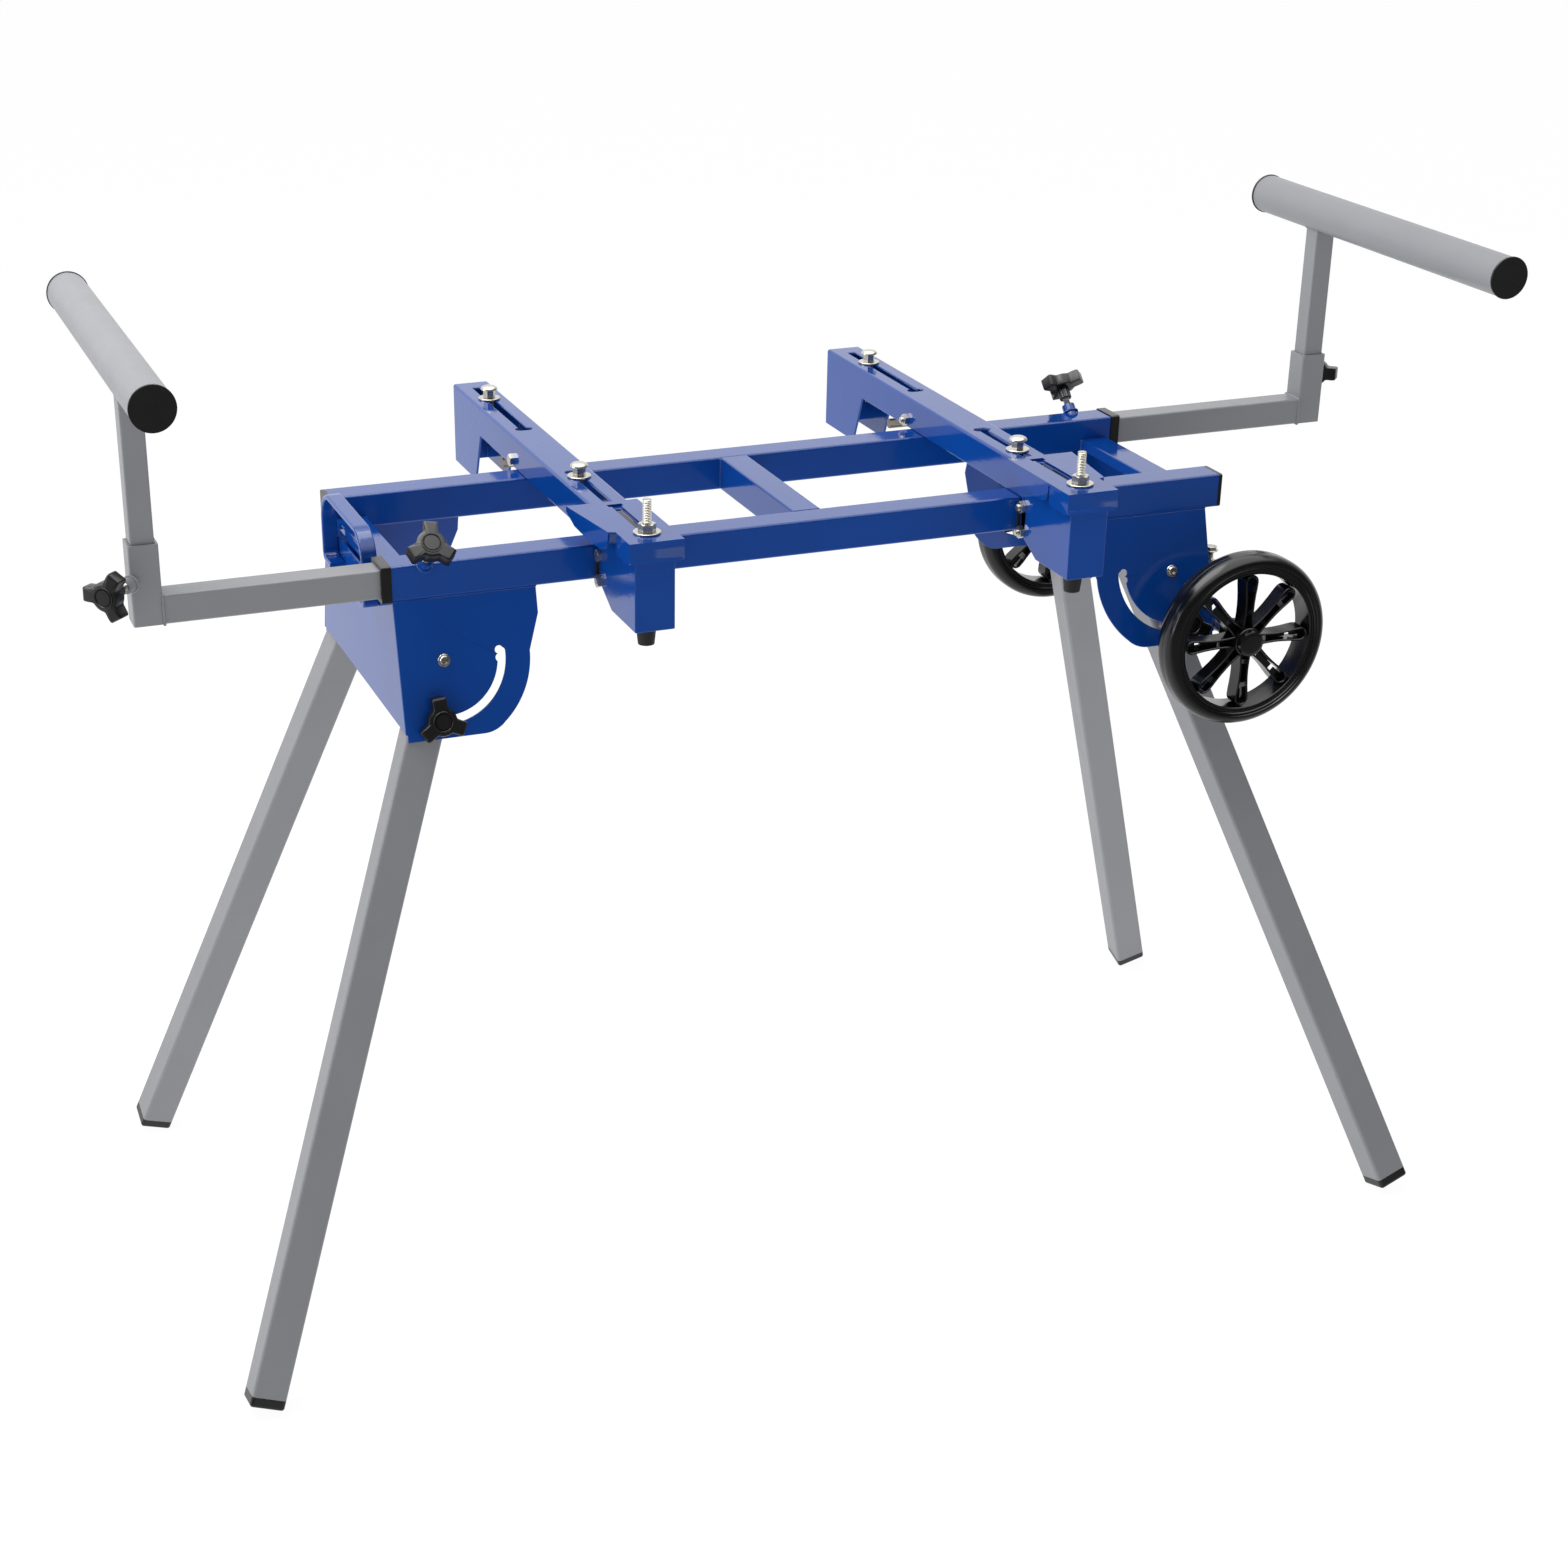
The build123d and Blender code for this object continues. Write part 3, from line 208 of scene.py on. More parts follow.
def new_piece(name, shape, body, slot, replaced):
    """A finished shape as a piece that rides on a body, smooth but for its sharp edges."""
    mesh = bpy.data.meshes.new(name)
    bmesh.ops.remove_doubles(shape, verts=shape.verts, dist=SAME_POINT)
    bmesh.ops.recalc_face_normals(shape, faces=shape.faces)
    shape.to_mesh(mesh)
    shape.free()
    mesh.materials.append(FINISHES[slot])
    mesh.polygons.foreach_set("use_smooth", [True] * len(mesh.polygons))
    mesh.set_sharp_from_angle(angle=radians(SHADED_ANGLE))
    piece = put_in_scene(name, mesh)
    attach(piece, body)
    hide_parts(replaced)


# Sheet and tube with softened edges
def plain_copy(source):
    """The evaluated shape of an object as a plain mesh, once its modifiers have done their work."""
    bpy.context.view_layer.update()
    return bpy.data.meshes.new_from_object(source.evaluated_get(bpy.context.evaluated_depsgraph_get()))


def apply_modifiers(piece):
    finished = plain_copy(piece)
    piece.modifiers.clear()
    piece.data = finished


# A node's triangles are loose until points within LOOSE_GAP, in metres, are merged. Edges shorter
# than SHORT_EDGE go too, in millimetres, since the rounding would fold over itself there.
LOOSE_GAP, SHORT_EDGE = 2e-6, 0.35
FLAT_ANGLE, SHARP_ANGLE = 0.5, 40
ROUNDING_STEPS, BROAD_FACES = 2, 80    # the shading of a rounded edge runs into the broad faces


def soften(name, width):
    """A copy of a sheet or tube piece with its cut edges rounded, so that they catch the light."""
    shape = bmesh.new()
    shape.from_mesh(nodes[name].data)
    shape.transform(nodes[name].matrix_world)
    bmesh.ops.remove_doubles(shape, verts=shape.verts, dist=LOOSE_GAP)
    bmesh.ops.dissolve_limit(shape, angle_limit=radians(FLAT_ANGLE), verts=shape.verts, edges=shape.edges)
    bmesh.ops.remove_doubles(shape, verts=shape.verts, dist=SHORT_EDGE * MM)
    mesh = bpy.data.meshes.new(f"{name}_soft")
    shape.to_mesh(mesh)
    shape.free()
    mesh.polygons.foreach_set("use_smooth", [True] * len(mesh.polygons))
    mesh.materials.append(FINISHES[SLOT_OF[name]])
    piece = put_in_scene(f"{name}_soft", mesh)
    edge = piece.modifiers.new("edge", "BEVEL")
    edge.width, edge.segments = width * MM, ROUNDING_STEPS
    edge.limit_method, edge.angle_limit = "ANGLE", radians(SHARP_ANGLE)
    # Only a cover's rounding is kept from overlapping, which leaves its thin edges nearly sharp
    edge.use_clamp_overlap, edge.loop_slide = name.endswith("_cover"), False
    piece.modifiers.new("normals", "WEIGHTED_NORMAL").weight = BROAD_FACES
    apply_modifiers(piece)
    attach(piece, BODY_OF[name])
    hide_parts(name)


# How far the rounding of each piece's edges reaches, in millimetres
SOFT_EDGES = {"front_rail": 0.5, "rear_rail": 0.5, "middle_member": 0.5, "end_members": 0.5,
              "left_end_plate": 0.7, "right_end_plate": 0.7, "rail_plastics": 0.6}
for end in ENDS:
    for side in SIDES:
        SOFT_EDGES.update({f"{side}_{end}_leg_plate": 0.7, f"{side}_{end}_leg": 0.4})
    SOFT_EDGES.update({f"{end}_arm": 0.4, f"{end}_socket": 0.5, f"{end}_post": 0.4, f"{end}_bar_caps": 0.8,
                       f"{end}_bracket": 1.3, f"{end}_cover": 0.6, f"{end}_lever": 0.6})
for name, width in SOFT_EDGES.items():
    soften(name, width)


# Shapes turned about +Z, in millimetres
def ring_of(shape, place, steps, radius_at, height_at):
    """A closed ring of points whose radius and height may change with the angle."""
    angles = [2 * pi * i / steps for i in range(steps)]
    return [shape.verts.new(place @ Vector((radius_at(a) * cos(a), radius_at(a) * sin(a), height_at(a))))
            for a in angles]


def round_ring(shape, place, steps, radius, height):
    return ring_of(shape, place, steps, lambda a: radius, lambda a: height)


def join_rings(shape, rings, steps):
    """Faces between each ring and the next, where a ring may be a single point."""
    for low, high in zip(rings, rings[1:]):
        for i in range(steps):
            j = (i + 1) % steps
            corners = [low[i % len(low)], low[j % len(low)], high[j % len(high)], high[i % len(high)]]
            kept = []
            for corner in corners:
                if corner not in kept:
                    kept.append(corner)
            if len(kept) > 2:
                shape.faces.new(kept)


def close_ring(shape, place, ring, height):
    """A fan of faces from a ring to its middle."""
    middle = shape.verts.new(place @ Vector((0, 0, height)))
    for i, corner in enumerate(ring):
        shape.faces.new((corner, ring[(i + 1) % len(ring)], middle))


def lathe(shape, profile, steps, place):
    """Turns a profile of (radius, height) about Z. Radius 0 closes an end."""
    rings = [round_ring(shape, place, steps, radius, height) if radius else
             [shape.verts.new(place @ Vector((0, 0, height)))] for radius, height in profile]
    join_rings(shape, rings, steps)


def outline_prism(shape, radius_at, levels, steps, place):
    """Stacks one outline at several levels of (inset, height), closed at both ends."""
    rings = [ring_of(shape, place, steps, lambda a: radius_at(a) - inset, lambda a: height)
             for inset, height in levels]
    join_rings(shape, rings, steps)
    for ring, height in ((rings[0], levels[0][1]), (rings[-1], levels[-1][1])):
        close_ring(shape, place, ring, height)


def hex_reach(flat, angle):
    """How far a hexagon reaches at an angle, when its flats are that far from the middle."""
    return flat / cos((angle + pi / 6) % (pi / 3) - pi / 6)


ROUND_STEPS = 48
CROWN_SHARE, CROWN_SLOPE, HEX_MIDDLE = 0.97, 30, 0.35
BOTTOM_CROWN, TOP_CROWN, BOTH_CROWNS, NO_CROWN = (True, False), (False, True), (True, True), (False, False)


def hexagon(shape, across, low, high, place, crown, bore=0.0):
    """A hexagon head or nut whose corners are turned down to a cone at its crowned ends."""
    flat = across / 2
    shoulder, drop = flat * CROWN_SHARE, tan(radians(CROWN_SLOPE))
    inner = bore if bore else flat * HEX_MIDDLE

    def turned_down(a, crowned):
        return (hex_reach(flat, a) - shoulder) * drop if crowned else 0

    def ring(radius_at, height_at):
        return ring_of(shape, place, ROUND_STEPS, radius_at, height_at)

    rings = [ring(lambda a: inner, lambda a: low)]
    if crown[0]:
        rings.append(ring(lambda a: shoulder, lambda a: low))
    rings.append(ring(lambda a: hex_reach(flat, a), lambda a: low + turned_down(a, crown[0])))
    rings.append(ring(lambda a: hex_reach(flat, a), lambda a: high - turned_down(a, crown[1])))
    if crown[1]:
        rings.append(ring(lambda a: shoulder, lambda a: high))
    rings.append(ring(lambda a: inner, lambda a: high))
    join_rings(shape, rings, ROUND_STEPS)
    if bore:
        join_rings(shape, [rings[0], rings[-1]], ROUND_STEPS)
    else:
        close_ring(shape, place, rings[0], low)
        close_ring(shape, place, rings[-1], high)


THREAD_STEPS, THREAD_DEPTH = 24, 0.55
NO_RISE = 1e-8    # in metres: the helix is cut off level at both ends


def thread(shape, size, low, high, place):
    """A threaded shank: crest and root follow a helix and run out at both ends."""
    radius, pitch = size
    root = radius - THREAD_DEPTH * pitch
    turns = int((high - low) / pitch) + 3
    columns = []
    for i in range(THREAD_STEPS + 1):
        column = []
        angle = 2 * pi * i / THREAD_STEPS
        for k in range(2 * turns):
            height = low + pitch * (k / 2 - 1 + i / THREAD_STEPS)
            reach = radius if k % 2 and low < height < high else root
            height = min(max(height, low), high)
            column.append(shape.verts.new(place @ Vector((reach * cos(angle), reach * sin(angle), height))))
        columns.append(column)
    for left, right in zip(columns, columns[1:]):
        for k in range(2 * turns - 1):
            corners = [left[k], right[k], right[k + 1], left[k + 1]]
            rises = [(corners[a].co - corners[b].co).length for a, b in ((0, 3), (1, 2))]
            if max(rises) > NO_RISE:
                shape.faces.new(corners)
    for height in (low, high):
        close_ring(shape, place, round_ring(shape, place, THREAD_STEPS, root, height), height)


def washer(shape, outer, bore, low, high, place):
    """A stamped washer with rounded rims."""
    soft = min(0.4, (high - low) / 3)
    lathe(shape, [(bore, low), (outer - soft, low), (outer, low + soft), (outer, high - soft),
                  (outer - soft, high), (bore, high), (bore, low)], ROUND_STEPS, place)


# Knobs: three lobes on a hub, a raised round cap and a plated screw
KNOB_REACH, KNOB_HUB, KNOB_LOBE_HALF = 26.5, 16.0, 8.0
KNOB_HEIGHT, KNOB_CAP, KNOB_CAP_HEIGHT, KNOB_NECK = 15.0, 11.5, 1.0, 7.5
TIP_BLEND, HUB_BLEND = 5.0, 3.0
FLUTES, FLUTE_HALF = 12, 0.35
KNOB_STEPS, CAP_STEPS, NECK_STEPS = 144, 64, 96


def soft_least(a, b, blend):
    """The smaller of two lengths, rounded where they are alike."""
    h = max(blend - abs(a - b), 0.0) / blend
    return min(a, b) - h * h * blend / 4


def knob_outline(turn):
    """Radius of the lobed outline at an angle, with rounded tips and hollow flanks."""
    def radius_at(angle):
        off = (angle - turn + pi / 3) % (2 * pi / 3) - pi / 3
        tip = KNOB_REACH / cos(off)
        flank = KNOB_LOBE_HALF / max(abs(sin(off)), 1e-3)
        return -soft_least(-soft_least(tip, flank, TIP_BLEND), -KNOB_HUB, HUB_BLEND)
    return radius_at


def knob(name, node, origin, axis, reference, stand_off, neck, depth, turn):
    """A lobed knob and its screw, in place of one solid that is a body of its own."""
    base = stand_off + neck
    top = base + KNOB_HEIGHT
    crest = top + KNOB_CAP_HEIGHT
    place = turned_to(origin, axis, reference)
    head = bmesh.new()
    outline_prism(head, knob_outline(radians(turn)),
                  [(1.4, base), (0.4, base + 0.4), (0.0, base + 1.4), (0.0, top - 2.4), (0.6, top - 1.1),
                   (2.0, top - 0.3), (3.2, top)], KNOB_STEPS, place)
    # The cap has a fine groove inside its rim
    lathe(head, [(0, top - 1.0), (KNOB_CAP, top - 1.0), (KNOB_CAP, crest - 0.4), (KNOB_CAP - 0.4, crest),
                 (KNOB_CAP - 1.4, crest), (KNOB_CAP - 1.8, crest - 0.4), (KNOB_CAP - 2.2, crest - 1.0),
                 (KNOB_CAP - 2.9, crest - 1.0), (KNOB_CAP - 3.3, crest - 0.3), (0, crest - 0.1)],
          CAP_STEPS, place)
    outline_prism(head, lambda angle: KNOB_NECK - FLUTE_HALF + FLUTE_HALF * cos(FLUTES * angle),
                  [(0.7, stand_off), (0.0, stand_off + 0.7), (0.0, base + 1.0)], NECK_STEPS, place)
    new_piece(f"{name}_head", head, node, "black_plastic", node)
    screw = bmesh.new()
    thread(screw, M8, -depth, stand_off + 0.5, place)
    new_piece(f"{name}_screw", screw, node, "zinc", node)


def plate_frame(end, side):
    """Where a leg plate's rail edge is, and its own x, y and outward directions."""
    flare = radians(FLARE[end])
    out = SIDES[side]
    origin = Vector((BOX_X[end] - ENDS[end] * PIVOT_INSET, out * RAIL_OUTER_Y, -RAIL_SIZE))
    x_dir = Vector((-out, 0, 0))
    normal = Vector((0, out * cos(flare), sin(flare)))
    return origin, x_dir, normal.cross(x_dir), normal


def on_plate(end, side, x, y):
    """A place on the outer face of a leg plate."""
    origin, x_dir, y_dir, _ = plate_frame(end, side)
    return origin + x_dir * x + y_dir * y


LOCK_NECK, LOCK_TURN, LEG_SCREW_PAST = 3.5, 95.0, 2.0 + 2 * M8[0]
for end in ENDS:
    for side in SIDES:
        _, x_dir, _, normal = plate_frame(end, side)
        start, way = radians(SLOT_START), SIDES[side] * ENDS[end]
        spot = on_plate(end, side, way * SLOT_RADIUS * sin(start), -PIVOT_DEPTH - SLOT_RADIUS * cos(start))
        knob(f"{side}_{end}_lock", f"{side}_{end}_knob", spot, normal, x_dir,
             SEAT, LOCK_NECK, SHEET + LEG_GAP[end] + LEG_SCREW_PAST, LOCK_TURN)

# Clamp knobs point at a tube's corner, through a boss that is welded to the tube around it
BOSS_HEIGHT, SCREW_SHOW, CLAMP_NECK = 9.0, 9.5, 14.0
CLAMP_STAND_OFF = BOSS_HEIGHT + SCREW_SHOW
CLAMP_INSET, POST_CLAMP_Z = 37.0, 12.0
ARM_CORNER, POST_CORNER = 2.5, 2.0
ARM_CLAMP_TURN, POST_CLAMP_TURN = 80.0, 89.0


def screw_depth(outer, inner, corner):
    """From the corner of the outer tube to the rounded corner of the tube inside it."""
    return (outer - inner) / sqrt(2) + corner * (sqrt(2) - 1) - SEAT


for end, out in ENDS.items():
    side = ARM_SIDE[end]
    knob(f"{end}_arm_clamp", f"{end}_arm_knob",
         (RAIL_END_X[end] - out * CLAMP_INSET, side * RAIL_OUTER_Y, 0), (0, side, 1), (1, 0, 0),
         CLAMP_STAND_OFF, CLAMP_NECK, screw_depth(RAIL_SIZE, ARM_SIZE, ARM_CORNER), ARM_CLAMP_TURN)
    knob(f"{end}_post_clamp", f"{end}_post_knob",
         (POST_X[end] + out * ARM_SIZE / 2, side * (RAIL_Y + ARM_SIZE / 2), POST_CLAMP_Z),
         (out, side, 0), (0, 0, 1),
         CLAMP_STAND_OFF, CLAMP_NECK, screw_depth(ARM_SIZE, POST_SIZE, POST_CORNER), POST_CLAMP_TURN)


# Bolts in the frame
SOCKET_MOUTH, SOCKET_FLAT, SOCKET_TOP, SOCKET_FLOOR = 3.5, 2.95, 4.5, 0.6
PIVOT_HEAD = [(0, 0), (7.0, 0), (7.0, 0.9), (6.6, 1.3), (6.0, 1.4), (5.7, 2.6), (5.1, 3.7), (4.3, 4.4),
              (SOCKET_MOUTH, SOCKET_TOP)]
PIVOT_TOP, PIVOT_END, SLEEVE_RADIUS = 0.05, 7.5, 9.0
LUG_X, LUG_Y, LUG_TOP, LUG_THICK = BOX_X["right"] + 9.0, 157.0, -RAIL_SIZE - 69.0, 4.0
LUG_BOLT_HEAD, LUG_BOLT_NECK, LUG_BOLT_END = (18.8, 23.5), 18.2, 15.0
LUG_BOLT_FLANGE = [(0, 18.0), (8.1, 18.0), (8.5, 18.4), (8.4, 18.9), (7.4, 19.5), (0, 19.8)]


def pivot_bolt(shape, end, side):
    """Button head with a hex socket, nut, and a sleeve where the leg stands off its plate."""
    _, x_dir, _, normal = plate_frame(end, side)
    place = turned_to(on_plate(end, side, 0, -PIVOT_DEPTH), normal, x_dir)
    lathe(shape, PIVOT_HEAD, ROUND_STEPS, place)
    mouth = round_ring(shape, place, ROUND_STEPS, SOCKET_MOUTH, SOCKET_TOP)
    floor = ring_of(shape, place, ROUND_STEPS, lambda a: hex_reach(SOCKET_FLAT, a), lambda a: SOCKET_FLOOR)
    join_rings(shape, [mouth, floor], ROUND_STEPS)
    close_ring(shape, place, floor, SOCKET_FLOOR)
    skin = SHEET + LEG_GAP[end]
    length = skin + LEG_SIZE
    thread(shape, M8, -length - PIVOT_END, -PIVOT_TOP, place)
    hexagon(shape, M8_HEX, -length - SEAT - M8_NUT, -length - SEAT, place, BOTTOM_CROWN, M8_BORE)
    if LEG_GAP[end] > SHEET:
        washer(shape, SLEEVE_RADIUS, M8[0] + WASHER_PLAY, -skin + SEAT, -SHEET - SEAT, place)


def lug_bolt(shape, y):
    """An upright flanged bolt above the lug that it stands in, with a nut on each side of the lug."""
    place = turned_to((LUG_X, y, LUG_TOP), (0, 0, 1), (1, 0.4, 0))
    hexagon(shape, M8_HEX, *LUG_BOLT_HEAD, place, TOP_CROWN)
    lathe(shape, LUG_BOLT_FLANGE, ROUND_STEPS, place)
    thread(shape, M8, -LUG_BOLT_END, LUG_BOLT_NECK, place)
    hexagon(shape, M8_HEX, SEAT, SEAT + M8_NUT, place, BOTH_CROWNS, M8_BORE)
    under = -LUG_THICK - SEAT
    hexagon(shape, M8_HEX, under - M8_NUT, under, place, BOTTOM_CROWN, M8_BORE)


frame_bolts = bmesh.new()
for end in ENDS:
    for side in SIDES:
        pivot_bolt(frame_bolts, end, side)
for y in (-LUG_Y, LUG_Y):
    lug_bolt(frame_bolts, y)
new_piece("frame_hardware", frame_bolts, "frame", "zinc", "frame_bolts")

# Bolts in the brackets
SIDE_BOLTS = ((-162.0, -9.0), (-162.0, -38.0), (160.0, 9.0))
SIDE_BOLT_END = 9.5
STUD_Y, STUD_TOP, STUD_BELOW = -249.0, 77.0, 14.0
STUD_WASHER, SAW_BOLT_WASHER = 15.0, 13.5
SAW_BOLT_Y = {"left": {"rear": 330.0, "front": -22.0}, "right": {"rear": 330.0, "front": -95.0}}
SAW_BOLT_NECK, SAW_BOLT_END = 12.0, 51.0
SAW_BOLT_DOME = [(0, 12.0), (10.1, 12.0), (10.5, 12.4), (10.4, 13.2), (9.4, 14.8), (7.2, 16.1), (4.0, 16.8),
                 (0, 17.0)]


def side_bolt(shape, end, out, y, z):
    """A hexagon bolt straight through both walls of a bracket."""
    place = turned_to((BRACKET_X[end] + out * BRACKET_HALF, y, z), (out, 0, 0), (0, 1, 0))
    through = 2 * BRACKET_HALF
    hexagon(shape, M8_HEX, 0, M8_THIN, place, TOP_CROWN)
    thread(shape, M8, -through - SIDE_BOLT_END, 0.0, place)
    hexagon(shape, M8_HEX, -through - SEAT - M8_THIN, -through - SEAT, place, BOTTOM_CROWN, M8_BORE)


def stud(shape, end):
    """The upright stud of a bracket, with its washer and nut on the cover and a nut below."""
    place = turned_to((BRACKET_X[end], STUD_Y, 0), (0, 0, 1), (1, 0.3, 0))
    thread(shape, M10, BRACKET_TOP - STUD_BELOW, STUD_TOP, place)
    low = COVER_TOP + SEAT
    washer(shape, STUD_WASHER, M10[0] + WASHER_PLAY, low, low + WASHER, place)
    nut = low + WASHER + SEAT
    hexagon(shape, M10_HEX, nut, nut + M10_NUT, place, TOP_CROWN, M10_BORE)
    under = BRACKET_TOP - BRACKET_SHEET - SEAT
    hexagon(shape, M10_HEX, under - M10_NUT, under, place, BOTTOM_CROWN, M10_BORE)


def saw_bolt(shape, end, y):
    """A domed bolt that clamps the saw down through a bracket's slot."""
    place = turned_to((BRACKET_X[end], y, BRACKET_TOP), (0, 0, 1), (1, 0.5, 0))
    lathe(shape, SAW_BOLT_DOME, ROUND_STEPS, place)
    hexagon(shape, M8_HEX, WASHER + 2 * SEAT, SAW_BOLT_NECK, place, NO_CROWN, M8_BORE)
    washer(shape, SAW_BOLT_WASHER, M8[0] + WASHER_PLAY, SEAT, WASHER + SEAT, place)
    thread(shape, M8, -SAW_BOLT_END, SAW_BOLT_NECK, place)
    under = -BRACKET_SHEET - SEAT
    hexagon(shape, M8_HEX, under - M8_NUT, under, place, BOTTOM_CROWN, M8_BORE)


for end, out in ENDS.items():
    bracket_bolts = bmesh.new()
    for y, z in SIDE_BOLTS:
        side_bolt(bracket_bolts, end, out, y, z)
    stud(bracket_bolts, end)
    new_piece(f"{end}_bracket_hardware", bracket_bolts, f"{end}_bracket", "zinc", f"{end}_bracket_bolts")
    for which, y in SAW_BOLT_Y[end].items():
        node = f"{end}_{which}_saw_bolt"
        turned_bolt = bmesh.new()
        saw_bolt(turned_bolt, end, y)
        new_piece(f"{node}_turned", turned_bolt, node, "zinc", node)


# Wheels
AXLE_X, AXLE_Z, WHEEL_Y = BOX_X["right"] + 9.0, -170.0, 239.986
WHEEL_RADIUS, RING_RADIUS, RING_HALF, RIM_WALL = 103.0, 87.0, 16.5, 7.0
SHOULDER_RISE, SHOULDER_HALF, TREAD_HALF = 11.5, 14, 5
HUB_RADIUS, HUB_HALF, HUB_BORE = 17.0, 22.0, 6.1
SPOKES, SPOKE_BACK, SPOKE_FACE, SPOKE_EDGE, RIB = 8, -6.0, 14.0, 0.7, 2.4
SPOKE_START, SPOKE_END, SPOKE_END_HALF, SPOKE_END_REACH = HUB_RADIUS - 3, 71, 8.3, 9.0
WEB_BACK, WEB_THICK, WEB_HALF = 6.0, 3.0, RIB + 1.2
WEB_SPANS = ((SPOKE_START, 27.0), (33.0, 56.0), (63.0, 78.0))
TYRE_STEPS, RIM_STEPS, HUB_STEPS = 160, 128, 64


def wheel_place(side):
    return turned_to((AXLE_X, SIDES[side] * WHEEL_Y, AXLE_Z), (0, SIDES[side], 0), (1, 0, 0))


def mirrored_section(half, middle=()):
    """Half a section and its mirror, with what lies between them, as a closed profile."""
    whole = half + list(middle) + [(radius, -height) for radius, height in reversed(half)]
    return whole + [whole[0]]


def tyre(side):
    """A glossy rubber tyre with round shoulders, a parting line and a bead at the rim."""
    bead = [(RING_RADIUS + 0.1, 16.8), (88.0, 18.0), (89.0, 18.2), (89.6, 17.6), (90.4, 17.8), (91.2, 19.0)]
    shoulder = [(WHEEL_RADIUS - SHOULDER_RISE + SHOULDER_RISE * sin(radians(a)),
                 TREAD_HALF + SHOULDER_HALF * cos(radians(a))) for a in range(0, 91, 6)]
    parting_line = [(WHEEL_RADIUS, 0.6), (WHEEL_RADIUS - 0.25, 0.25)]
    shape = bmesh.new()
    lathe(shape, mirrored_section(bead + shoulder + parting_line), TYRE_STEPS, wheel_place(side))
    new_piece(f"{side}_tyre_moulded", shape, f"{side}_wheel", "tyre_rubber", f"{side}_tyre")


def spoke_outline(inset):
    """Half of a spoke's outer edge, from the hub to the round end at the rim."""
    stations = [(SPOKE_START, 7.4), (26, 6.2), (36, 5.8), (46, 6.0), (56, 6.8), (64, 7.8),
                (SPOKE_END, SPOKE_END_HALF)]
    edge = [(along, wide - inset) for along, wide in stations]
    return edge + [(SPOKE_END + (SPOKE_END_REACH - inset) * sin(radians(a)),
                    (SPOKE_END_HALF - inset) * cos(radians(a))) for a in range(15, 91, 15)]


def slab(shape, turn, outlines):
    """Joins flat outlines of (outline, height) and closes the first and the last."""
    rings = [[shape.verts.new(turn @ Vector((x, y, height))) for x, y in outline]
             for outline, height in outlines]
    join_rings(shape, rings, len(rings[0]))
    shape.faces.new(rings[0])
    shape.faces.new(rings[-1])


def spoke(shape, turn):
    """Two ribs that close in a round end, joined behind by a web with two windows."""
    levels = []
    for inset, height in ((0.0, SPOKE_BACK), (0.0, SPOKE_FACE - SPOKE_EDGE), (SPOKE_EDGE, SPOKE_FACE)):
        outer, inner = spoke_outline(inset), spoke_outline(RIB - inset)
        around = outer + [(x, -y) for x, y in reversed(outer[:-1])]
        around += [(x, -y) for x, y in inner[:-1]] + list(reversed(inner))
        levels.append((around, height))
    slab(shape, turn, levels)
    for low, high in WEB_SPANS:
        corners = [(low, -WEB_HALF), (high, -WEB_HALF), (high, WEB_HALF), (low, WEB_HALF)]
        slab(shape, turn, [(corners, SPOKE_BACK + WEB_BACK), (corners, SPOKE_BACK + WEB_BACK + WEB_THICK)])


def rim(side):
    """A moulded rim: hub with a domed cap, eight channelled spokes and the ring under the tyre."""
    shape = bmesh.new()
    place = wheel_place(side)
    inner = RING_RADIUS - RIM_WALL
    ring = [(RING_RADIUS, RING_HALF - 1.0), (RING_RADIUS - 0.6, RING_HALF), (84.6, RING_HALF),
            (84.2, RING_HALF - 0.8), (83.6, RING_HALF - 0.8), (83.2, RING_HALF), (inner + 1.9, RING_HALF),
            (inner + 1.2, RING_HALF - 0.9)]
    lathe(shape, mirrored_section(ring, [(inner, 2.0)]), RIM_STEPS, place)
    lathe(shape, [(0, HUB_HALF - 6.0), (HUB_BORE, HUB_HALF - 6.0), (HUB_BORE, -HUB_HALF),
                  (HUB_RADIUS - 0.8, -HUB_HALF), (HUB_RADIUS, -HUB_HALF + 0.8), (HUB_RADIUS, 17.5),
                  (HUB_RADIUS - 1.0, 18.5), (HUB_RADIUS - 1.8, 18.5), (HUB_RADIUS - 1.8, 23.2),
                  (HUB_RADIUS - 2.2, 24.8), (HUB_RADIUS - 3.6, 26.0), (HUB_RADIUS - 8, 26.8), (0, 27.0)],
          HUB_STEPS, place)
    for i in range(SPOKES):
        spoke(shape, place @ Matrix.Rotation(radians(360 / SPOKES * i), 4, "Z"))
    new_piece(f"{side}_rim_moulded", shape, f"{side}_wheel", "wheel_plastic", f"{side}_rim")


for side in SIDES:
    tyre(side)
    rim(side)


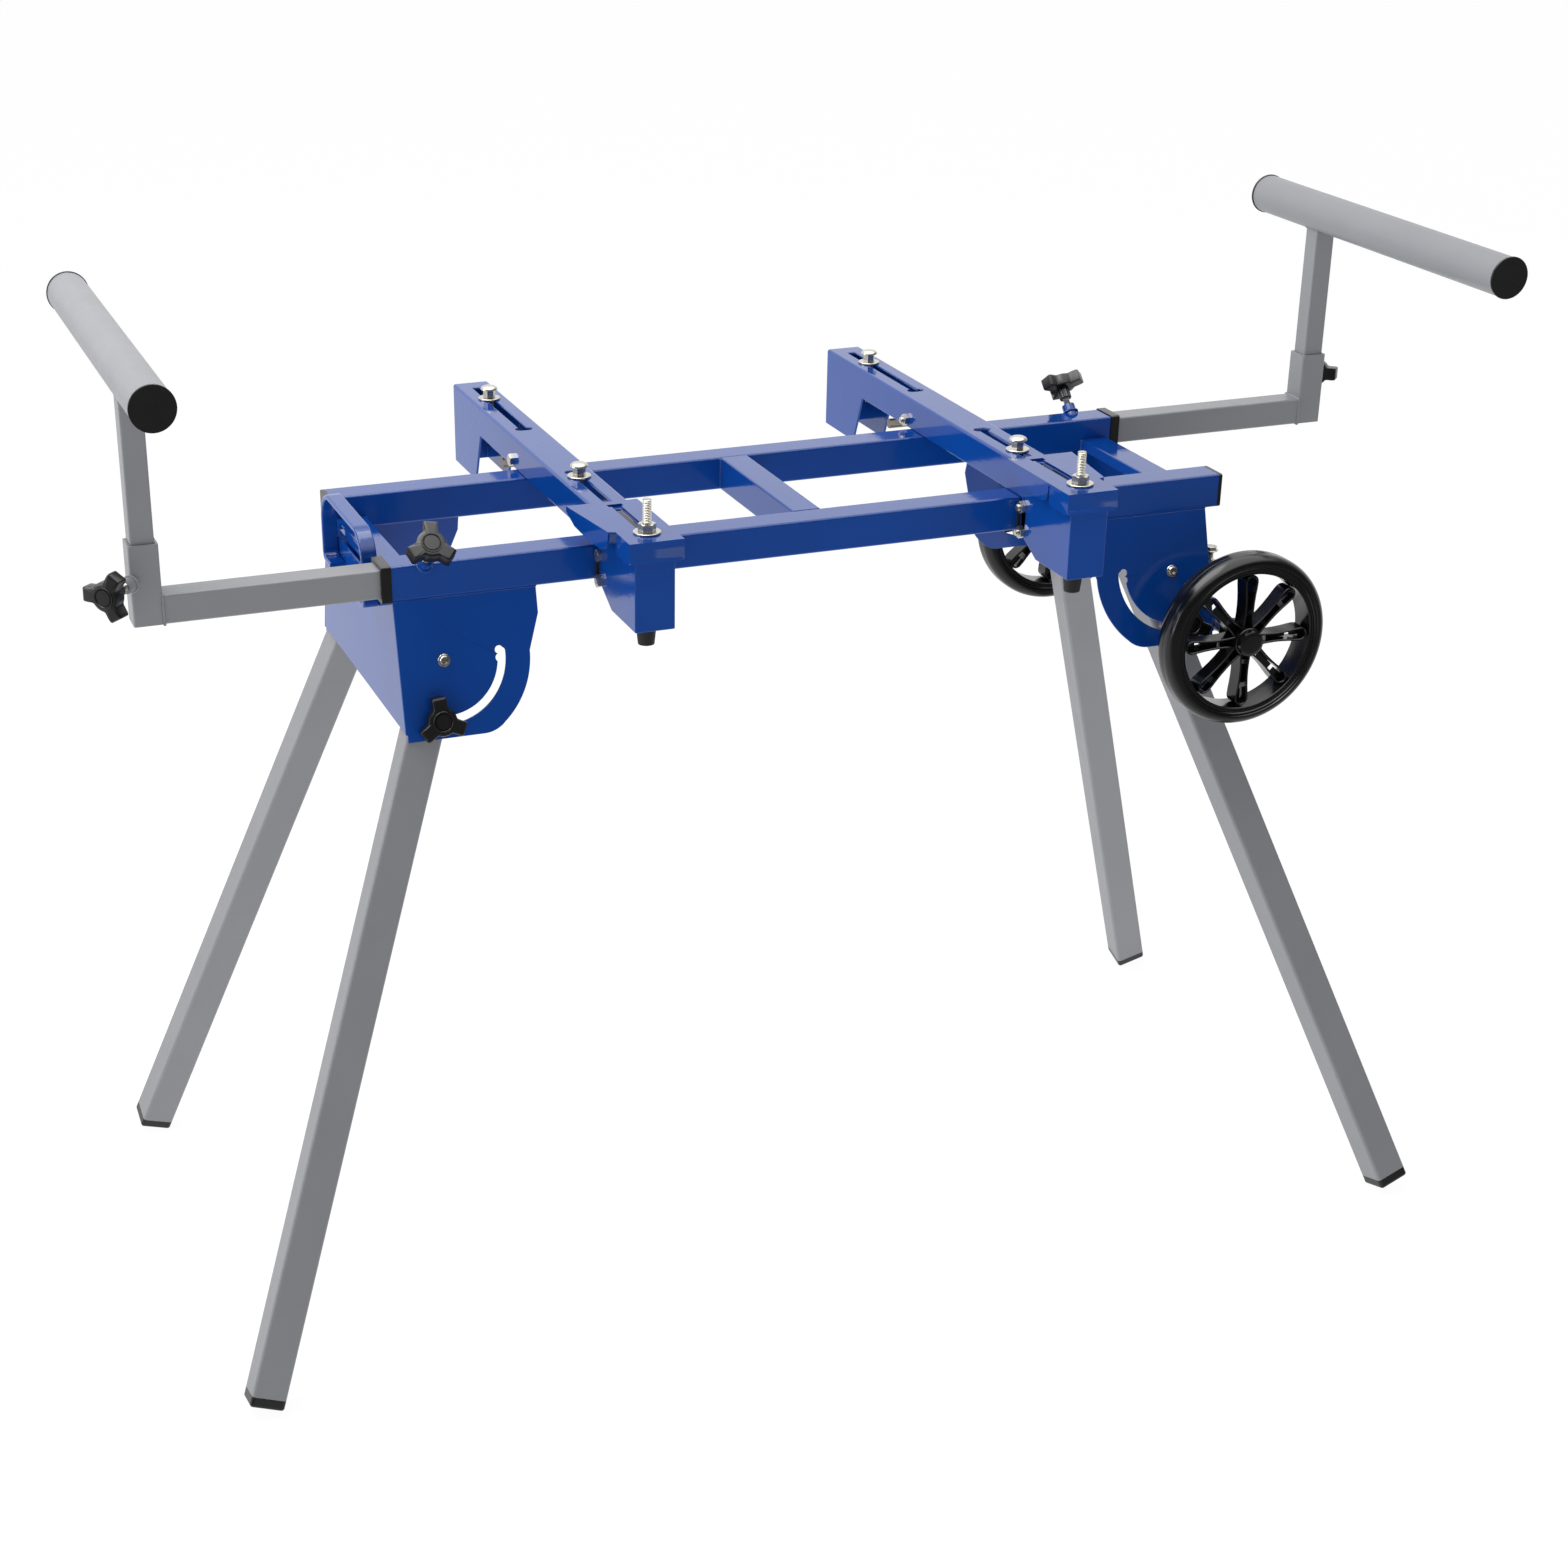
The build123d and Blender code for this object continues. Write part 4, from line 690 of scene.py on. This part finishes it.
# Weld beads: overlapping scales laid along a seam
def weld_tree():
    """Geometry nodes that lay a weld's scales along the edges of a seam."""
    tree = bpy.data.node_groups.new("weld_bead", "GeometryNodeTree")
    for name, kind in (("Seam", "Geometry"), ("Pitch", "Float"), ("Scale", "Vector"), ("Seed", "Int"),
                       ("Finish", "Material")):
        tree.interface.new_socket(name, in_out="INPUT", socket_type=f"NodeSocket{kind}")
    tree.interface.new_socket("Bead", in_out="OUTPUT", socket_type="NodeSocketGeometry")
    given = add(tree, "NodeGroupInput").outputs
    path = add(tree, "GeometryNodeMeshToCurve", {"Mesh": given["Seam"]})
    spots = add(tree, "GeometryNodeCurveToPoints", {"Curve": path.outputs[0], "Length": given["Pitch"]},
                mode="LENGTH")
    scale = add(tree, "GeometryNodeMeshIcoSphere", {"Radius": 0.5, "Subdivisions": 2})
    wobble = add(tree, "FunctionNodeRandomValue", {"Min": (0.85, 0.85, 0.85), "Max": (1.1, 1.1, 1.1),
                                                   "Seed": given["Seed"]}, data_type="FLOAT_VECTOR")
    size = add(tree, "ShaderNodeVectorMath", {0: given["Scale"], 1: wobble.outputs["Value"]},
               operation="MULTIPLY")
    laid = add(tree, "GeometryNodeInstanceOnPoints",
               {"Points": spots.outputs["Points"], "Instance": scale.outputs["Mesh"],
                "Rotation": spots.outputs["Rotation"], "Scale": size.outputs[0]})
    whole = add(tree, "GeometryNodeRealizeInstances", {"Geometry": laid.outputs[0]})
    smooth = add(tree, "GeometryNodeSetShadeSmooth", {"Geometry": whole.outputs[0]})
    painted = add(tree, "GeometryNodeSetMaterial",
                  {"Geometry": smooth.outputs[0], "Material": given["Finish"]})
    add(tree, "NodeGroupOutput", {"Bead": painted.outputs[0]})
    return tree


WELD = weld_tree()
SOCKETS = {item.name: item.identifier for item in WELD.interface.items_tree if item.in_out == "INPUT"}
WELD_PITCH, SCALE_LENGTH = 1.3, 0.8


def weld(name, seams, size, body, slot, seed):
    """Beads of one size along several seams, each a list of places in millimetres."""
    points, edges = [], []
    for seam in seams:
        edges += [(len(points) + i, len(points) + i + 1) for i in range(len(seam) - 1)]
        points += [metres(point) for point in seam]
    mesh = bpy.data.meshes.new(name)
    mesh.from_pydata(points, edges, [])
    piece = put_in_scene(name, mesh)
    bead = piece.modifiers.new("bead", "NODES")
    bead.node_group = WELD
    bead[SOCKETS["Pitch"]] = WELD_PITCH * MM
    bead[SOCKETS["Scale"]] = [size * MM, size * MM, SCALE_LENGTH * size * MM]
    bead[SOCKETS["Seed"]] = seed
    bead[SOCKETS["Finish"]] = FINISHES[slot]
    apply_modifiers(piece)
    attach(piece, body)


def round_seam(middle, axis, across, radius, steps=28):
    """A seam round a boss, about an axis."""
    z = Vector(axis).normalized()
    x = (Vector(across) - z * Vector(across).dot(z)).normalized()
    y = z.cross(x)
    return [middle + (x * cos(2 * pi * i / steps) + y * sin(2 * pi * i / steps)) * radius
            for i in range(steps + 1)]


def square_seam(half):
    """The corners of a square tube, from one of them round to itself."""
    return ((-half, -half), (half, -half), (half, half), (-half, half), (-half, -half))


FRAME_BEAD, TUBE_BEAD, BOSS_SEAM = 3.2, 3.4, 8.6
ARM_BOSS_SINK, POST_BOSS_SINK = 0.9, 0.7
MEMBER_X, MEMBER_HALF, MEMBER_SEAM_Z = -3.0, 17.0, (-2.5, -36.5)
END_MEMBER_X, END_MEMBER_HALF, END_SEAM_Z = (-473.0, 479.0), 17.5, (-26.5, -37.5)
PLATE_LENGTH, PLATE_SEAM_Y, PLATE_SEAM_Z = 160.0, RAIL_OUTER_Y - 2.0, -RAIL_SIZE + 0.3
rail_inner = RAIL_OUTER_Y - RAIL_SIZE
frame_seams = []
for y in (-rail_inner, rail_inner):
    for x in (MEMBER_X - MEMBER_HALF, MEMBER_X + MEMBER_HALF):
        frame_seams.append([(x, y, z) for z in MEMBER_SEAM_Z])
    for middle in END_MEMBER_X:
        for x in (middle - END_MEMBER_HALF, middle + END_MEMBER_HALF):
            frame_seams.append([(x, y, z) for z in END_SEAM_Z])
for end, out in ENDS.items():
    for side in SIDES.values():
        frame_seams.append([(x, side * PLATE_SEAM_Y, PLATE_SEAM_Z)
                            for x in (BOX_X[end], BOX_X[end] - out * PLATE_LENGTH)])
    boss = Vector((RAIL_END_X[end] - out * CLAMP_INSET, ARM_SIDE[end] * (RAIL_OUTER_Y - ARM_BOSS_SINK),
                   -ARM_BOSS_SINK))
    frame_seams.append(round_seam(boss, (0, ARM_SIDE[end], 1), (1, 0, 0), BOSS_SEAM))
weld("frame_welds", frame_seams, FRAME_BEAD, "frame", "blue_paint", 3)
for end, out in ENDS.items():
    side = ARM_SIDE[end]
    half = ARM_SIZE / 2
    boss = Vector((POST_X[end] + out * (half - POST_BOSS_SINK), side * (RAIL_Y + half - POST_BOSS_SINK),
                   POST_CLAMP_Z))
    joint = [(POST_X[end] - out * half, side * RAIL_Y + y, -RAIL_SIZE / 2 + z) for z, y in square_seam(half)]
    weld(f"{end}_arm_welds", [round_seam(boss, (out, side, 0), (0, 0, 1), BOSS_SEAM), joint], TUBE_BEAD,
         f"{end}_arm", "gray_paint", 5)
    saddle = [(POST_X[end] + x, side * RAIL_Y + y, BAR_Z - sqrt(BAR_RADIUS**2 - x**2))
              for x, y in square_seam(POST_SIZE / 2)]
    weld(f"{end}_bar_welds", [saddle], TUBE_BEAD, f"{end}_post", "gray_paint", 7)


# Stage: pale floor, white surroundings and soft lamps
FLOOR_HALF, FLOOR_DROP = 40.0, 0.0005
WHITE, PAPER = "#ffffff", "#e8e8e8"


def paper_floor():
    """White paper that keeps the stand's shadow and throws light up at the legs. Glossy paint sees it
    darker towards the front."""
    near, far = -FLOOR_HALF, FLOOR_HALF
    mesh = bpy.data.meshes.new("floor")
    mesh.from_pydata([(x, y, -FLOOR_DROP) for x, y in ((near, near), (far, near), (far, far), (near, far))],
                     [], [(0, 1, 2, 3)])
    floor = put_in_scene("floor", mesh)
    material, tree, place = start_material("white_paper_floor")
    ray = add(tree, "ShaderNodeLightPath").outputs
    paper = add(tree, "ShaderNodeBsdfDiffuse", {"Color": linear(PAPER)})
    strength = add(tree, "ShaderNodeMapRange",
                   {"Value": ray["Is Camera Ray"], "To Min": 1.6, "To Max": 1.06})
    glow = add(tree, "ShaderNodeEmission", {"Color": linear(WHITE), "Strength": strength.outputs[0]})
    share = add(tree, "ShaderNodeMapRange", {"Value": ray["Is Camera Ray"], "To Min": 0.7, "To Max": 0.9})
    lit = add(tree, "ShaderNodeMixShader",
              {"Fac": share.outputs[0], 1: paper.outputs[0], 2: glow.outputs[0]})
    spot = add(tree, "ShaderNodeSeparateXYZ", {"Vector": place})
    fade = add(tree, "ShaderNodeMapRange", {"Value": spot.outputs["Y"], "From Min": -1.3, "From Max": 0.0,
                                            "To Min": 0.2, "To Max": 0.88}, interpolation_type="SMOOTHSTEP")
    dim = add(tree, "ShaderNodeEmission", {"Color": linear(WHITE), "Strength": fade.outputs[0]})
    shown = add(tree, "ShaderNodeMixShader",
                {"Fac": ray["Is Glossy Ray"], 1: lit.outputs[0], 2: dim.outputs[0]})
    add(tree, "ShaderNodeOutputMaterial", {"Surface": shown.outputs[0]})
    mesh.materials.append(material)


def surroundings():
    """White behind the stand and gray around it. Glossy paint sees a bright wall at the back,
    a bright ceiling and a dark room in front."""
    world = bpy.data.worlds.new("white_surroundings")
    world.use_nodes = True
    tree = world.node_tree
    tree.nodes.clear()
    ray = add(tree, "ShaderNodeLightPath").outputs
    place = add(tree, "ShaderNodeTexCoord").outputs["Generated"]
    way = add(tree, "ShaderNodeSeparateXYZ", {"Vector": place}).outputs
    wall = add(tree, "ShaderNodeMapRange", {"Value": way["Y"], "From Min": -0.35, "From Max": 0.75,
                                            "To Min": 0.1, "To Max": 1.18}, interpolation_type="SMOOTHSTEP")
    above = add(tree, "ShaderNodeMapRange", {"Value": way["Z"], "From Min": 0.48, "From Max": 0.85,
                                             "To Min": 0.0, "To Max": 2.5}, interpolation_type="SMOOTHSTEP")
    bright = add(tree, "ShaderNodeMath", {0: wall.outputs[0], 1: above.outputs[0]}, operation="MAXIMUM")
    mirrored = add(tree, "ShaderNodeMath", {0: ray["Is Glossy Ray"], 1: bright.outputs[0]},
                   operation="MULTIPLY")
    around = add(tree, "ShaderNodeMapRange", {"Value": way["Y"], "From Min": -0.8, "From Max": 0.8,
                                              "To Min": 0.28, "To Max": 0.62})
    plain = add(tree, "ShaderNodeMix", {"Factor": ray["Is Camera Ray"], "A": around.outputs[0], "B": 1.0})
    dull = add(tree, "ShaderNodeMath", {0: 1.0, 1: ray["Is Glossy Ray"]}, operation="SUBTRACT")
    lit = add(tree, "ShaderNodeMath", {0: dull.outputs[0], 1: plain.outputs[0]}, operation="MULTIPLY")
    total = add(tree, "ShaderNodeMath", {0: mirrored.outputs[0], 1: lit.outputs[0]}, operation="ADD")
    sky = add(tree, "ShaderNodeBackground", {"Color": linear(WHITE), "Strength": total.outputs[0]})
    add(tree, "ShaderNodeOutputWorld", {"Surface": sky.outputs[0]})
    bpy.context.scene.world = world


def softbox(name, place, aim, size, watts):
    """A square lamp that the camera doesn't see, in metres."""
    lamp = bpy.data.lights.new(name, "AREA")
    lamp.shape, lamp.size, lamp.energy = "SQUARE", size, watts
    box = put_in_scene(name, lamp)
    box.location = place
    box.rotation_euler = (Vector(aim) - Vector(place)).to_track_quat("-Z", "Y").to_euler()
    box.visible_camera = False


# The camera stands where the photograph was taken: its place in millimetres, its angles in
# degrees, and its lens in pixels of the photograph, which is a square of that many pixels.
PHOTO_PIXELS, FOCAL_PIXELS, CENTRE_X, CENTRE_Y = 1568, 2767.56, 626.67, 925.06
EYE, AZIMUTH, ELEVATION, ROLL = (-1175.9, -2884.6, 933.5), 19.04, 25.79, -0.30
SENSOR = 36.0


def photographer():
    """The camera at the photograph's place and angle."""
    azimuth, elevation, roll = radians(AZIMUTH), radians(ELEVATION), radians(ROLL)
    ahead = Vector((sin(azimuth) * cos(elevation), cos(azimuth) * cos(elevation), -sin(elevation)))
    right = Vector((cos(azimuth), -sin(azimuth), 0))
    up = right.cross(ahead)
    right, up = right * cos(roll) + up * sin(roll), up * cos(roll) - right * sin(roll)
    lens = bpy.data.cameras.new("photographer")
    lens.sensor_width, lens.sensor_fit = SENSOR, "HORIZONTAL"
    lens.lens = SENSOR * FOCAL_PIXELS / PHOTO_PIXELS
    lens.shift_x = (PHOTO_PIXELS / 2 - CENTRE_X) / PHOTO_PIXELS
    lens.shift_y = (CENTRE_Y - PHOTO_PIXELS / 2) / PHOTO_PIXELS
    eye = put_in_scene("photographer", lens)
    turn = Matrix((right, up, -ahead)).transposed().to_4x4()
    eye.matrix_world = Matrix.Translation(metres(EYE)) @ turn
    bpy.context.scene.camera = eye


paper_floor()
surroundings()
softbox("overhead_softbox", (-0.9, 0.3, 3.4), (0, 0, 0.7), 2.6, 74.0)
softbox("left_softbox", (-5.6, 0.1, 2.2), (0, 0, 0.6), 3.2, 104.0)
photographer()
bpy.context.scene.view_settings.view_transform = "Standard"
